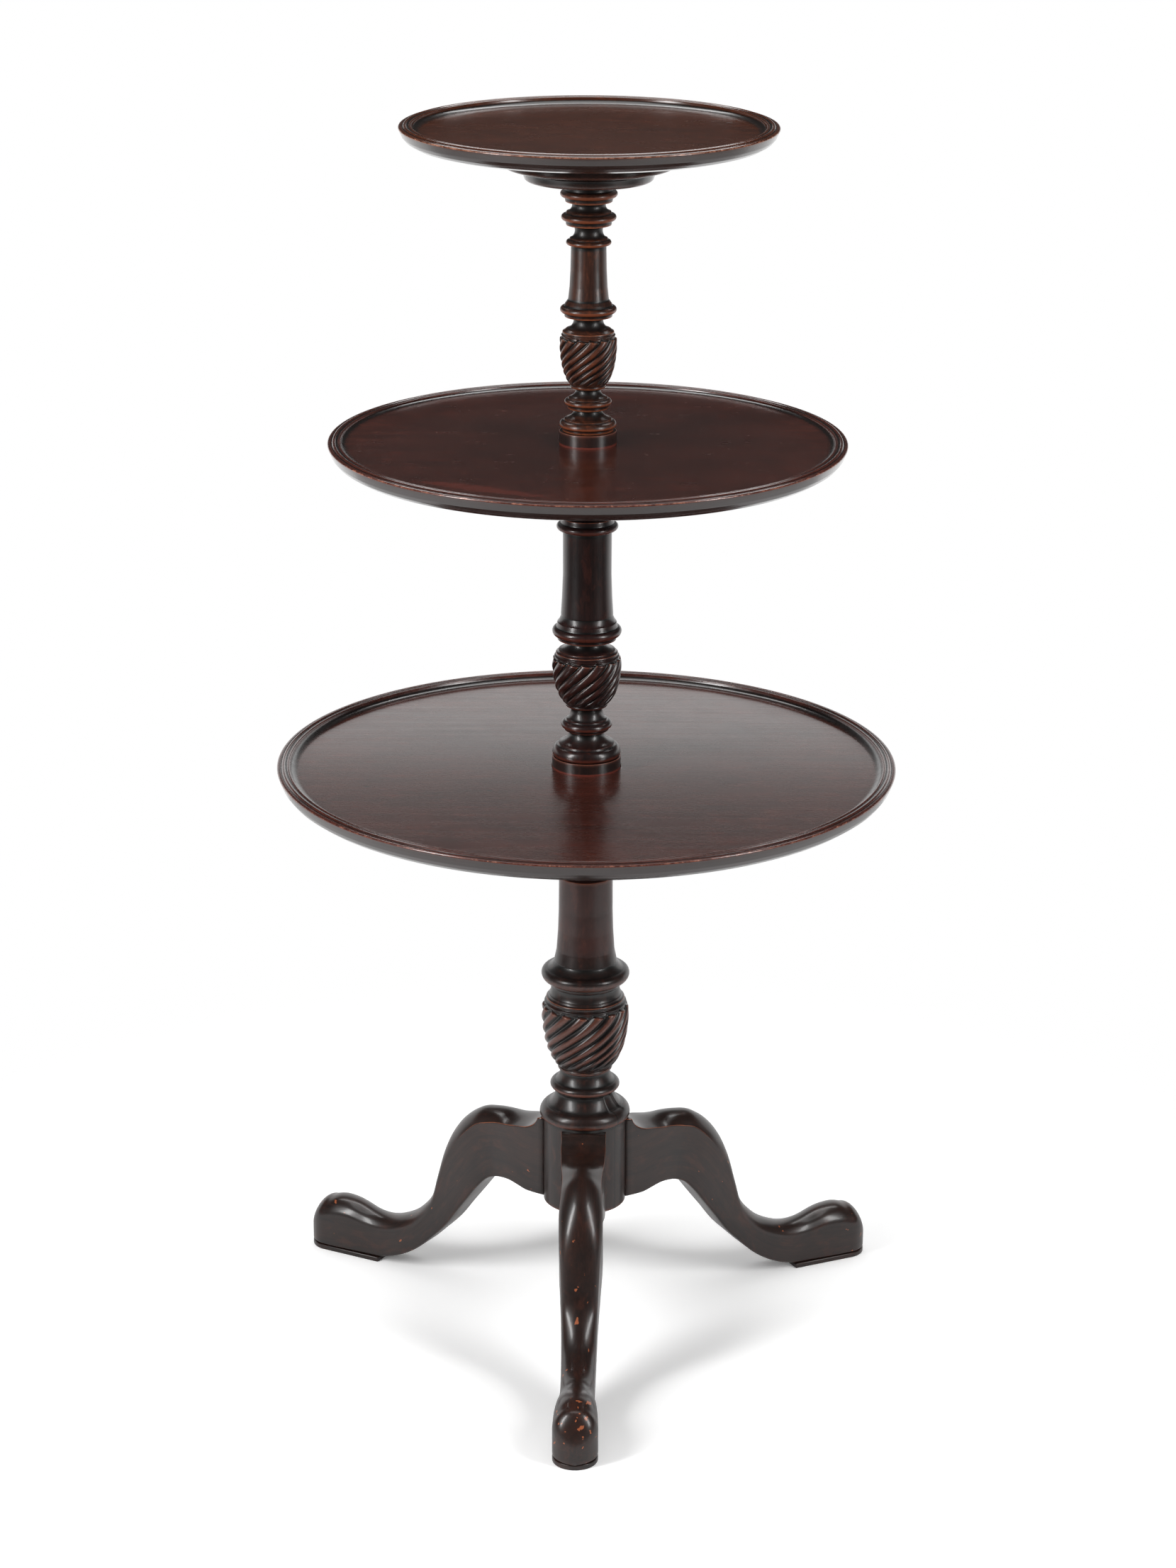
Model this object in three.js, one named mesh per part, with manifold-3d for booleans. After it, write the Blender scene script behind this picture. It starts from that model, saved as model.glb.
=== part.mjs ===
// A three-tier dumbwaiter table in mahogany: three dished round trays, each turning on
// a turned and spirally carved column that stands on three cabriole legs.
// Millimetres, +Z up, standing on the floor at zero height.

import * as THREE from 'three';
import { mergeVertices } from 'three/addons/utils/BufferGeometryUtils.js';
import Module from 'manifold-3d';

const wasm = await Module();
wasm.setup();

// Clearances
const glueGap = 0.3;
const runningGap = 0.3;
const overrun = 4;

// Trays: how high the outer edge lies over the floor, or over the edge of the tray below,
// and how deep the dish lies under the bead
const lowerTray = { radius: 300, riseHeight: 592.3, dishDepth: 7, segments: 36 };
const middleTray = { below: lowerTray, radius: 246, riseHeight: 319.7, dishDepth: 4.7, segments: 32 };
const topTray = { below: middleTray, radius: 176.2, riseHeight: 297, dishDepth: 7, segments: 30 };

// Moulded rim of every tray, and the rounded belly under its outer edge
const rim = { width: 20, height: 2.7 };
const belly = { width: 50, depth: 22 };

// From the outer edge inwards: inset as a share of the rim's width, height over the edge
// as a share of the rim's height
const beadShares = [
  [0, 0],
  [0.06, 0.45],
  [0.19, 0.4],
  [0.25, 1],
  [0.34, 1],
  [0.4, 0.65],
  [0.6, 0.6],
];

// The hollow from the bead down to the dish floor: inset as a share of the rim's width,
// drop under the bead as a share of the dish
const coveShares = [
  [0.68, 0.5],
  [0.83, 0.88],
  [1, 1],
];

// From the outer edge in under the tray: inset and drop as shares of the belly
const bellyShares = [
  [0.04, 0.25],
  [0.12, 0.53],
  [0.32, 0.82],
  [1, 1],
];

// Boss, the turned bearer screwed under each tray: radius and drop as shares of its size
const boss = { radius: 80, depth: 26.7, segments: 16 };
const bossShares = [
  [1, 0],
  [1, 0.34],
  [0.95, 0.53],
  [0.86, 0.65],
  [0.765, 0.71],
  [0.731, 1],
];

// Collar, the hub ring let into each floor that the column passes through: how high it
// stands over the floor, and how deep its rebate is
const lowerCollar = { radius: 33.3, height: 11.7 };
const middleCollar = { radius: 27.2, height: 12.7 };
const rebateDepth = 2;

// Bearer screws, countersunk from below
const screw = {
  count: 3,
  circleRadius: 44,
  shankRadius: 2,
  headRadius: 4.4,
  headDepth: 3,
  length: 38,
  segments: 6,
};

// Pins turned on the foot of each upper section and on the head of the column
const middlePin = { radius: 13.5, seatDepth: 44 };
const upperPin = { radius: 9.5, seatDepth: 34 };
const headPin = { radius: 8.5, height: 24 };
const pinTipLength = 1.5;

// Drum at the foot of the column
const drum = { radius: 41, bottomHeight: 127.5, height: 91.5, bevelWidth: 1.5 };

// Cabriole legs: reach is from the column's axis to the toe
const leg = { reach: 332.5, shoulderGap: 2, width: 44, footWidth: 43.6, chamferShare: 0.14, toeSteps: 4 };
const legSides = ['front', 'right', 'left'];
const firstLegAngle = -91.4;
const scribeSegments = 36;
const dovetail = { depth: 14, neckWidth: 12, tailWidth: 18, height: 72 };

// Sole under each foot
const sole = { thickness: 5, length: 89, heelWidth: 34, arcSteps: 8 };

// Lobes of the spirally carved urns: how many in a ring, how deep the grooves between them
// are and how much of a turn they wind
const baseUrn = { lobes: 16, grooveDepth: 3, turns: 0.36, rings: 7 };
const middleUrn = { lobes: 14, grooveDepth: 2.4, turns: 0.31, rings: 6 };
const upperUrn = { lobes: 14, grooveDepth: 2.1, turns: 0.42, rings: 7 };
const windPower = 1.35;

// Across one lobe: place and how much of the groove's depth is cut away there
const lobeShares = [
  [0, 1],
  [0.3, 0],
  [0.7, 0],
];

// Outline of a carved urn: height share, radius share and groove depth share. The lobes
// stop short under a plain shoulder.
const urnShares = [
  [0, 0.6, 0.1],
  [0.12, 0.77, 0.7],
  [0.28, 0.89, 1],
  [0.5, 0.965, 1],
  [0.75, 1, 1],
  [0.88, 0.985, 0.95],
  [0.92, 0.95, 0.15],
  [1, 0.85, 0],
];

// Turned sections. Each row is a height share, a radius share and, where the stretch up to
// it is a round moulding or a hollow, the radius share at the middle of that stretch.
const base = { maxRadius: 44.5, segments: 18, coreShare: 0.4 };
const baseFootShares = [
  [0, 0.921],
  [0.043, 0.858, 1.011],
  [0.045, 0.831],
  [0.086, 0.652, 0.701],
  [0.097, 0.688],
  [0.122, 0.674, 0.778],
  [0.16, 0.562, 0.58],
  [0.163, 0.589],
  [0.173, 0.598],
];
const baseUrnShares = { bottomShare: 0.1715, topShare: 0.401, radiusShare: 0.978 };
const baseHeadShares = [
  [0.4, 0.829],
  [0.407, 0.813],
  [0.44, 0.784, 0.766],
  [0.443, 0.8],
  [0.452, 0.822],
  [0.492, 0.867, 0.978],
  [0.517, 0.697, 0.742],
  [0.552, 0.643],
  [0.617, 0.611],
  [0.791, 0.596],
  [0.792, 0.461],
  [0.83, 0.438],
  [0.833, 0.607],
  [0.877, 0.618, 0.764],
  [0.935, 0.64, 0.461],
  [0.944, 0.64],
  [0.988, 0.674, 0.787],
  [1, 0.629],
];

const middle = { maxRadius: 33.3, segments: 16, coreShare: 0.4 };
const middleFootShares = [
  [0, 0.919],
  [0.041, 0.853, 0.991],
  [0.05, 0.817],
  [0.096, 0.559, 0.547],
  [0.099, 0.64],
  [0.108, 0.655],
  [0.135, 0.628, 0.742],
  [0.142, 0.595],
  [0.188, 0.498, 0.468],
  [0.19, 0.58],
  [0.203, 0.595],
];
const middleUrnShares = { bottomShare: 0.2, topShare: 0.4, radiusShare: 1.009 };
const middleHeadShares = [
  [0.399, 0.844],
  [0.407, 0.823],
  [0.445, 0.646, 0.559],
  [0.447, 0.853],
  [0.46, 0.865],
  [0.494, 0.889, 1.003],
  [0.512, 0.856],
  [0.541, 0.757, 0.781],
  [0.609, 0.724],
  [0.693, 0.7],
  [0.857, 0.703],
  [0.859, 0.763],
  [0.886, 0.769, 0.886],
  [0.906, 0.751],
  [0.952, 0.766, 0.586],
  [0.992, 0.811, 0.901],
  [1, 0.811],
];

const upper = { maxRadius: 26.9, segments: 16, coreShare: 0.4 };
const upperFootShares = [
  [0, 0.9],
  [0.014, 0.914],
  [0.041, 0.862, 1],
  [0.048, 0.829],
  [0.087, 0.55, 0.543],
  [0.09, 0.706],
  [0.105, 0.725],
  [0.128, 0.71, 0.829],
  [0.134, 0.684],
  [0.171, 0.491, 0.461],
  [0.173, 0.584],
  [0.186, 0.595],
];
const upperUrnShares = { bottomShare: 0.1835, topShare: 0.404, radiusShare: 1.011 };
const upperHeadShares = [
  [0.403, 0.829],
  [0.411, 0.773],
  [0.457, 0.625, 0.532],
  [0.46, 0.833],
  [0.474, 0.848],
  [0.502, 0.855, 0.989],
  [0.512, 0.814],
  [0.528, 0.71],
  [0.579, 0.662],
  [0.646, 0.632],
  [0.743, 0.613],
  [0.745, 0.691],
  [0.766, 0.684, 0.788],
  [0.773, 0.654],
  [0.821, 0.595, 0.487],
  [0.824, 0.788],
  [0.841, 0.807],
  [0.869, 0.81, 0.959],
  [0.877, 0.773],
  [0.913, 0.669, 0.591],
  [0.916, 0.818],
  [0.932, 0.836],
  [0.961, 0.855, 0.996],
  [1, 0.911, 0.84],
];

// Round mouldings are drawn with this many straight steps
const mouldingSteps = 3;

// A leg from the drum out to the widest part of its foot. Reach is a share of that stretch
// and rise a share of the leg's height at the drum: top reach, top rise, bottom reach,
// bottom rise, share of the width, crown as a share of half the width.
const legShares = [
  [-0.041, 1, -0.041, 0.597, 1, 0.05],
  [0.019, 0.984, 0.011, 0.594, 1, 0.08],
  [0.052, 0.952, 0.056, 0.599, 1, 0.28],
  [0.1, 0.94, 0.1, 0.61, 0.99, 0.5],
  [0.167, 0.951, 0.159, 0.617, 0.97, 0.76],
  [0.234, 0.956, 0.208, 0.611, 0.96, 0.84],
  [0.3, 0.93, 0.245, 0.588, 0.955, 0.82],
  [0.363, 0.872, 0.286, 0.539, 0.95, 0.8],
  [0.41, 0.788, 0.33, 0.465, 0.93, 0.8],
  [0.445, 0.691, 0.382, 0.38, 0.89, 0.8],
  [0.476, 0.562, 0.434, 0.286, 0.84, 0.8],
  [0.519, 0.424, 0.493, 0.204, 0.8, 0.8],
  [0.578, 0.323, 0.564, 0.124, 0.775, 0.8],
  [0.649, 0.265, 0.641, 0.071, 0.755, 0.8],
  [0.723, 0.233, 0.727, 0.032, 0.745, 0.8],
  [0.797, 0.233, 0.797, 0, 0.77, 0.82],
  [0.886, 0.263, 0.886, 0, 0.88, 0.85],
  [0.953, 0.269, 0.953, 0, 0.96, 0.9],
  [1, 0.253, 1, 0, 0.991, 0.92],
];
const noseShare = 0.36;
const nosePower = 1.5;
const toeShare = 0.94;
const crownSteps = 4;

// Heights that follow from the sizes above
const edgeOf = (tray) => tray.riseHeight + (tray.below ? edgeOf(tray.below) : 0);
const floorOf = (tray) => edgeOf(tray) + rim.height - tray.dishDepth;
const undersideOf = (tray) => edgeOf(tray) - belly.depth;
const bossTopOf = (tray) => undersideOf(tray) - glueGap;
const bossBottomOf = (tray) => bossTopOf(tray) - boss.depth;
const collarTopOf = (tray, collar) => floorOf(tray) + collar.height;
const columnTopUnder = (tray) => bossBottomOf(tray) - runningGap;
const drumTop = drum.bottomHeight + drum.height;
const legRise = drumTop - leg.shoulderGap;

// A solid from a closed three.js geometry
function solid(geometry) {
  const bare = new THREE.BufferGeometry();
  const flat = geometry.index ? geometry.toNonIndexed() : geometry;
  bare.setAttribute('position', flat.attributes.position.clone());
  const merged = mergeVertices(bare);
  const index = merged.index.array;
  const kept = [];
  for (let i = 0; i < index.length; i += 3) {
    const [a, b, c] = [index[i], index[i + 1], index[i + 2]];
    if (a !== b && b !== c && c !== a) kept.push(a, b, c);
  }
  const mesh = new wasm.Mesh({
    numProp: 3,
    vertProperties: new Float32Array(merged.attributes.position.array),
    triVerts: new Uint32Array(kept),
  });
  return new wasm.Manifold(mesh);
}

// A three.js geometry from a solid
function geometryOf(body) {
  const { vertProperties, triVerts, numProp } = body.getMesh();
  const position = new Float32Array((vertProperties.length / numProp) * 3);
  for (let i = 0; i < position.length / 3; i += 1) {
    position.set(vertProperties.subarray(i * numProp, i * numProp + 3), i * 3);
  }
  const geometry = new THREE.BufferGeometry();
  geometry.setAttribute('position', new THREE.BufferAttribute(position, 3));
  geometry.setIndex(new THREE.BufferAttribute(new Uint32Array(triVerts), 1));
  const faceted = geometry.toNonIndexed();
  faceted.computeVertexNormals();
  return faceted;
}

// A solid of revolution about Z from [radius, height] points that climb the outside
function revolved(points, segments) {
  const profile = points.map(([radius, height]) => new THREE.Vector2(radius, height));
  const lathe = new THREE.LatheGeometry(profile, segments);
  lathe.rotateX(Math.PI / 2);
  return solid(lathe);
}

// A ring of revolution: its profile closes on itself
function ring(points, segments) {
  return revolved([...points, points[0]], segments);
}

// A round bore big enough that a turned pin of this radius clears its flats
function boreFor(radius, gap, segments) {
  return (radius + gap) / Math.cos(Math.PI / segments);
}

// A prism standing on a plan outline
function prism(outline, bottom, top) {
  const shape = new THREE.Shape(outline.map(([x, y]) => new THREE.Vector2(x, y)));
  const block = new THREE.ExtrudeGeometry(shape, { depth: top - bottom, bevelEnabled: false });
  block.translate(0, 0, bottom);
  return solid(block);
}

// Points of a turned outline from its rows of shares
function turnedPoints(rows, bottom, height, maxRadius) {
  const points = [];
  rows.forEach(([heightShare, radiusShare, middleShare], row) => {
    if (middleShare !== undefined) {
      const [startHeight, startRadius] = rows[row - 1];
      for (let step = 1; step < mouldingSteps; step += 1) {
        const angle = (Math.PI * step) / mouldingSteps;
        const along = (1 - Math.cos(angle)) / 2;
        const chord = startRadius + (radiusShare - startRadius) * along;
        const swell = (middleShare - (startRadius + radiusShare) / 2) * Math.sin(angle);
        const rise = startHeight + (heightShare - startHeight) * along;
        points.push([maxRadius * (chord + swell), bottom + height * rise]);
      }
    }
    points.push([maxRadius * radiusShare, bottom + height * heightShare]);
  });
  return points;
}

// A carved urn's radius and groove shares at any share of its height
function urnRow(share) {
  const next = urnShares.findIndex((row) => row[0] >= share);
  if (next <= 0) return urnShares[0];
  const [from, to] = [urnShares[next - 1], urnShares[next]];
  const part = (share - from[0]) / (to[0] - from[0]);
  return from.map((value, column) => value + (to[column] - value) * part);
}

// A carved urn: rings of lobes, each three points wide, wound round the axis as they climb
function carvedUrn({ lobes, grooveDepth, turns, rings }, bottom, top, radius) {
  const around = lobes * lobeShares.length;
  const layers = [];
  for (let step = 0; step <= rings; step += 1) layers.push(urnRow(step / rings));
  layers.push(urnRow(urnShares[urnShares.length - 2][0]));
  layers.sort((one, other) => one[0] - other[0]);
  const position = [];
  for (const [rise, reachShare, depthShare] of layers) {
    const wind = 2 * Math.PI * turns * (1 - (1 - rise) ** windPower);
    for (let point = 0; point < around; point += 1) {
      const [along, cut] = lobeShares[point % lobeShares.length];
      const lobe = Math.floor(point / lobeShares.length);
      const angle = wind + (2 * Math.PI * (lobe + along)) / lobes;
      const reach = radius * reachShare - grooveDepth * depthShare * cut;
      position.push(reach * Math.cos(angle), reach * Math.sin(angle), bottom + (top - bottom) * rise);
    }
  }
  const below = position.length / 3;
  position.push(0, 0, bottom);
  position.push(0, 0, top);
  const index = [];
  const last = (layers.length - 1) * around;
  for (let point = 0; point < around; point += 1) {
    const next = (point + 1) % around;
    for (let layer = 0; layer + 1 < layers.length; layer += 1) {
      const low = layer * around;
      const high = low + around;
      index.push(low + point, low + next, high + next);
      index.push(low + point, high + next, high + point);
    }
    index.push(below, next, point);
    index.push(below + 1, last + point, last + next);
  }
  const geometry = new THREE.BufferGeometry();
  geometry.setAttribute('position', new THREE.BufferAttribute(new Float32Array(position), 3));
  geometry.setIndex(index);
  return solid(geometry);
}

// One turned section with its carved urn. Foot and head are the closing points below and
// above the shown stretch, from the axis out and from the outside in.
function columnSection({ size, footShares, urnPlace, headShares, urn, bottom, top, foot, head }) {
  const height = top - bottom;
  const core = size.maxRadius * size.coreShare;
  const footPoints = turnedPoints(footShares, bottom, height, size.maxRadius);
  const headPoints = turnedPoints(headShares, bottom, height, size.maxRadius);
  const outline = [
    ...foot,
    ...footPoints,
    [core, footPoints[footPoints.length - 1][1]],
    [core, headPoints[0][1]],
    ...headPoints,
    ...head,
  ];
  const turned = revolved(outline, size.segments);
  const urnBottom = bottom + height * urnPlace.bottomShare;
  const urnTop = bottom + height * urnPlace.topShare;
  return turned.add(carvedUrn(urn, urnBottom, urnTop, size.maxRadius * urnPlace.radiusShare));
}

// A trapezoid in plan for the dovetails, grown all round by a gap
function dovetailOutline(gap, reachIn) {
  const face = drum.radius + reachIn;
  const slope = (dovetail.tailWidth - dovetail.neckWidth) / 2 / dovetail.depth;
  const inner = drum.radius - dovetail.depth - gap;
  const half = (radius) => dovetail.neckWidth / 2 + slope * (drum.radius - radius) + gap;
  return [
    [inner, -half(inner)],
    [face, -half(face)],
    [face, half(face)],
    [inner, half(inner)],
  ];
}

const dovetailTop = drum.bottomHeight + dovetail.height;

// Turns a solid by degrees about the column's axis
const turnedBy = (body, degrees) => body.rotate([0, 0, degrees]);

// Places of pieces that stand evenly round the column's axis
const evenAngles = (count, first) => Array.from({ length: count }, (_, i) => first + (360 * i) / count);
const legAngles = evenAngles(legSides.length, firstLegAngle);

function basePillar() {
  const socketRadius = boreFor(middlePin.radius, glueGap, base.segments);
  const top = columnTopUnder(lowerTray);
  const socketFloor = top - middlePin.seatDepth - glueGap;
  const drumPoints = [
    [0, drum.bottomHeight],
    [drum.radius - drum.bevelWidth, drum.bottomHeight],
    [drum.radius, drum.bottomHeight + drum.bevelWidth],
    [drum.radius, drumTop],
  ];
  let pillar = columnSection({
    size: base,
    footShares: baseFootShares,
    urnPlace: baseUrnShares,
    headShares: baseHeadShares,
    urn: baseUrn,
    bottom: drumTop,
    top,
    foot: drumPoints,
    head: [[socketRadius, top], [socketRadius, socketFloor], [0, socketFloor]],
  });
  for (const angle of legAngles) {
    const slot = prism(dovetailOutline(glueGap, overrun), drum.bottomHeight - overrun, dovetailTop + glueGap);
    pillar = pillar.subtract(turnedBy(slot, angle));
  }
  return pillar;
}

function pinPoints(pin, tip, shoulder) {
  return [
    [0, tip],
    [pin.radius - pinTipLength, tip],
    [pin.radius, tip + pinTipLength],
    [pin.radius, shoulder],
  ];
}

function middlePillar() {
  const socketRadius = boreFor(upperPin.radius, glueGap, middle.segments);
  const bottom = collarTopOf(lowerTray, lowerCollar) + runningGap;
  const top = columnTopUnder(middleTray);
  const tip = columnTopUnder(lowerTray) - middlePin.seatDepth;
  const socketFloor = top - upperPin.seatDepth - glueGap;
  return columnSection({
    size: middle,
    footShares: middleFootShares,
    urnPlace: middleUrnShares,
    headShares: middleHeadShares,
    urn: middleUrn,
    bottom,
    top,
    foot: pinPoints(middlePin, tip, bottom),
    head: [[socketRadius, top], [socketRadius, socketFloor], [0, socketFloor]],
  });
}

function upperPillar() {
  const bottom = collarTopOf(middleTray, middleCollar) + runningGap;
  const top = columnTopUnder(topTray);
  const tip = columnTopUnder(middleTray) - upperPin.seatDepth;
  const pinTop = top + headPin.height;
  return columnSection({
    size: upper,
    footShares: upperFootShares,
    urnPlace: upperUrnShares,
    headShares: upperHeadShares,
    urn: upperUrn,
    bottom,
    top,
    foot: pinPoints(upperPin, tip, bottom),
    head: [
      [headPin.radius, top],
      [headPin.radius, pinTop - pinTipLength],
      [headPin.radius - pinTipLength, pinTop],
      [0, pinTop],
    ],
  });
}

// Stations of a leg: the ends of each cross-section in the leg's own plane, its half width
// and its crown, first down to the foot and then round the toe
function legStations() {
  const toeRadius = leg.footWidth / 2;
  const span = leg.reach - toeRadius - drum.radius;
  const footFloor = sole.thickness + glueGap;
  const stations = legShares.map(([topReach, topRise, bottomReach, bottomRise, width, crown]) => {
    const half = (leg.width / 2) * width;
    return {
      top: [drum.radius + span * topReach, legRise * topRise],
      bottom: [drum.radius + span * bottomReach, Math.max(legRise * bottomRise, footFloor)],
      half,
      crown: half * crown,
    };
  });
  const heel = stations[stations.length - 1];
  const nose = heel.top[1] * noseShare;
  for (let step = 1; step <= leg.toeSteps; step += 1) {
    const angle = ((Math.PI / 2) * step * toeShare) / leg.toeSteps;
    const reach = leg.reach - toeRadius + toeRadius * Math.sin(angle);
    const height = nose + (heel.top[1] - nose) * Math.cos(angle) ** nosePower;
    stations.push({
      top: [reach, height],
      bottom: [reach, footFloor],
      half: heel.half * Math.cos(angle),
      crown: heel.crown * Math.cos(angle),
    });
  }
  return stations;
}

// Cross-section of a leg: chamfered underside, flat cheeks and an arched crown
function legSection({ top, bottom, half, crown }) {
  const chamfer = half * leg.chamferShare;
  const depth = Math.hypot(top[0] - bottom[0], top[1] - bottom[1]);
  const cheek = (depth - Math.min(crown, depth / 2)) / depth;
  const low = chamfer / depth;
  const section = [
    [-half + chamfer, 0],
    [half - chamfer, 0],
    [half, low],
  ];
  for (let step = 0; step <= crownSteps; step += 1) {
    const angle = (Math.PI * step) / crownSteps;
    section.push([half * Math.cos(angle), cheek + (1 - cheek) * Math.sin(angle)]);
  }
  section.push([-half, low]);
  return section.map(([side, up]) => [
    bottom[0] + (top[0] - bottom[0]) * up,
    side,
    bottom[1] + (top[1] - bottom[1]) * up,
  ]);
}

// A solid lofted through rings of equally many points
function loft(rings) {
  const around = rings[0].length;
  const position = rings.flat(2);
  const index = [];
  for (let layer = 0; layer + 1 < rings.length; layer += 1) {
    for (let point = 0; point < around; point += 1) {
      const next = (point + 1) % around;
      const near = layer * around;
      const far = near + around;
      index.push(near + point, near + next, far + next);
      index.push(near + point, far + next, far + point);
    }
  }
  const last = (rings.length - 1) * around;
  for (let point = 1; point + 1 < around; point += 1) {
    index.push(0, point + 1, point);
    index.push(last, last + point, last + point + 1);
  }
  const geometry = new THREE.BufferGeometry();
  geometry.setAttribute('position', new THREE.BufferAttribute(new Float32Array(position), 3));
  geometry.setIndex(index);
  return solid(geometry);
}

// A leg along +X: its shoulder is hollowed to the drum and carries a dovetail
function cabrioleLeg() {
  const body = loft(legStations().map(legSection));
  const low = drum.bottomHeight - overrun;
  const high = drumTop + overrun;
  const hollow = boreFor(drum.radius, glueGap, scribeSegments);
  const scribe = revolved([[0, low], [hollow, low], [hollow, high], [0, high]], scribeSegments);
  const tenon = prism(dovetailOutline(0, overrun), drum.bottomHeight + drum.bevelWidth, dovetailTop);
  return body.subtract(scribe).add(tenon);
}

// Sole under a foot along +X: square at the heel, round at the toe
function footSole() {
  const toeRadius = leg.footWidth / 2;
  const centre = leg.reach - toeRadius;
  const heel = leg.reach - sole.length;
  const outline = [
    [heel, sole.heelWidth / 2],
    [heel, -sole.heelWidth / 2],
  ];
  for (let step = 0; step <= sole.arcSteps; step += 1) {
    const angle = -Math.PI / 2 + (Math.PI * step) / sole.arcSteps;
    outline.push([centre + toeRadius * Math.cos(angle), toeRadius * Math.sin(angle)]);
  }
  return prism(outline, 0, sole.thickness);
}

const screwAngles = evenAngles(screw.count, 0);

// A bearer screw, or with a gap the hole that it sits in
function screwSolid(headFace, gap) {
  const shank = screw.shankRadius + gap;
  const head = screw.headRadius + gap;
  const low = gap > 0 ? headFace - overrun : headFace;
  const start = gap > 0 ? [[0, low], [head, low], [head, headFace]] : [[0, headFace], [head, headFace]];
  const body = revolved(
    [
      ...start,
      [shank, headFace + screw.headDepth],
      [shank, headFace + screw.length + gap],
      [0, headFace + screw.length + gap],
    ],
    screw.segments,
  );
  return body.translate([screw.circleRadius, 0, 0]);
}

function screwHoles(body, headFace) {
  return screwAngles.reduce(
    (rest, angle) => rest.subtract(turnedBy(screwSolid(headFace, glueGap), angle)),
    body,
  );
}

// A dished tray. With a collar it has a bore and a rebate, and the top one has neither.
function dishedTray(tray, collar, bore) {
  const edge = edgeOf(tray);
  const bead = edge + rim.height;
  const upperSide = [
    ...beadShares.map(([inset, rise]) => [tray.radius - rim.width * inset, edge + rim.height * rise]),
    ...coveShares.map(([inset, drop]) => [tray.radius - rim.width * inset, bead - tray.dishDepth * drop]),
  ];
  const underSide = bellyShares.map(([inset, drop]) => [
    tray.radius - belly.width * inset,
    edge - belly.depth * drop,
  ]);
  const outline = [...underSide.reverse(), ...upperSide];
  const floor = floorOf(tray);
  if (!collar) {
    const whole = revolved([[0, undersideOf(tray)], ...outline, [0, floor]], tray.segments);
    return screwHoles(whole, bossBottomOf(tray));
  }
  const rebate = boreFor(collar.radius, glueGap, tray.segments);
  const hub = [
    [rebate, floor],
    [rebate, floor - rebateDepth],
    [bore, floor - rebateDepth],
  ];
  const bored = ring([[bore, undersideOf(tray)], ...outline, ...hub], tray.segments);
  return screwHoles(bored, bossBottomOf(tray));
}

function turnedBoss(tray, bore) {
  const top = bossTopOf(tray);
  const outside = bossShares.map(([reach, drop]) => [boss.radius * reach, top - boss.depth * drop]);
  const outline = [[bore, bossBottomOf(tray)], ...outside.reverse(), [bore, top]];
  return screwHoles(ring(outline, boss.segments), bossBottomOf(tray));
}

function hubCollar(tray, collar, bore, segments) {
  const low = floorOf(tray) - rebateDepth + glueGap;
  const high = collarTopOf(tray, collar);
  const outline = [
    [bore, low],
    [collar.radius, low],
    [collar.radius, high],
    [bore, high],
  ];
  return ring(outline, segments);
}

// Materials
const mahogany = new THREE.MeshStandardMaterial({ color: 0x2a1410, roughness: 0.28, metalness: 0 });
const darkMahogany = new THREE.MeshStandardMaterial({ color: 0x1c0f0d, roughness: 0.3, metalness: 0 });
const redMahogany = new THREE.MeshStandardMaterial({ color: 0x3b1a12, roughness: 0.25, metalness: 0 });
const steel = new THREE.MeshStandardMaterial({ color: 0x5a544c, roughness: 0.5, metalness: 0.9 });

const table = new THREE.Group();

// The column stands behind the middle of the table's box by half of what the front foot
// reaches past the lower tray
table.position.y = (leg.reach - lowerTray.radius) / 2;

function place(parent, name, body, material, degrees = 0) {
  const mesh = new THREE.Mesh(geometryOf(body), material);
  mesh.name = name;
  mesh.rotation.z = THREE.MathUtils.degToRad(degrees);
  parent.add(mesh);
}

const middleBore = boreFor(middlePin.radius, runningGap, base.segments);
const upperBore = boreFor(upperPin.radius, runningGap, middle.segments);
const headBore = boreFor(headPin.radius, runningGap, upper.segments);

place(table, 'base_pillar', basePillar(), darkMahogany);
place(table, 'middle_pillar', middlePillar(), darkMahogany);
place(table, 'upper_pillar', upperPillar(), mahogany);

legSides.forEach((side, i) => {
  place(table, `leg_${side}`, cabrioleLeg(), darkMahogany, legAngles[i]);
  place(table, `foot_sole_${side}`, footSole(), darkMahogany, legAngles[i]);
});

place(table, 'lower_tray', dishedTray(lowerTray, lowerCollar, middleBore), redMahogany);
place(table, 'middle_tray', dishedTray(middleTray, middleCollar, upperBore), redMahogany);
place(table, 'top_tray', dishedTray(topTray), redMahogany);

place(table, 'lower_collar', hubCollar(lowerTray, lowerCollar, middleBore, base.segments), mahogany);
place(table, 'middle_collar', hubCollar(middleTray, middleCollar, upperBore, middle.segments), mahogany);

const tiers = [
  ['lower', lowerTray, middleBore],
  ['middle', middleTray, upperBore],
  ['top', topTray, headBore],
];
for (const [tier, tray, bore] of tiers) {
  place(table, `${tier}_boss`, turnedBoss(tray, bore), darkMahogany);
  screwAngles.forEach((angle, i) => {
    const body = screwSolid(bossBottomOf(tray), 0);
    place(table, `${tier}_boss_screw_${i + 1}`, body, steel, angle);
  });
}

export default table;
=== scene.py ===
"""A three-tier mahogany dumbwaiter table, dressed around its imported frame."""

import bisect
import math

import bmesh
import bpy
from mathutils import Matrix, Vector


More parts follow.
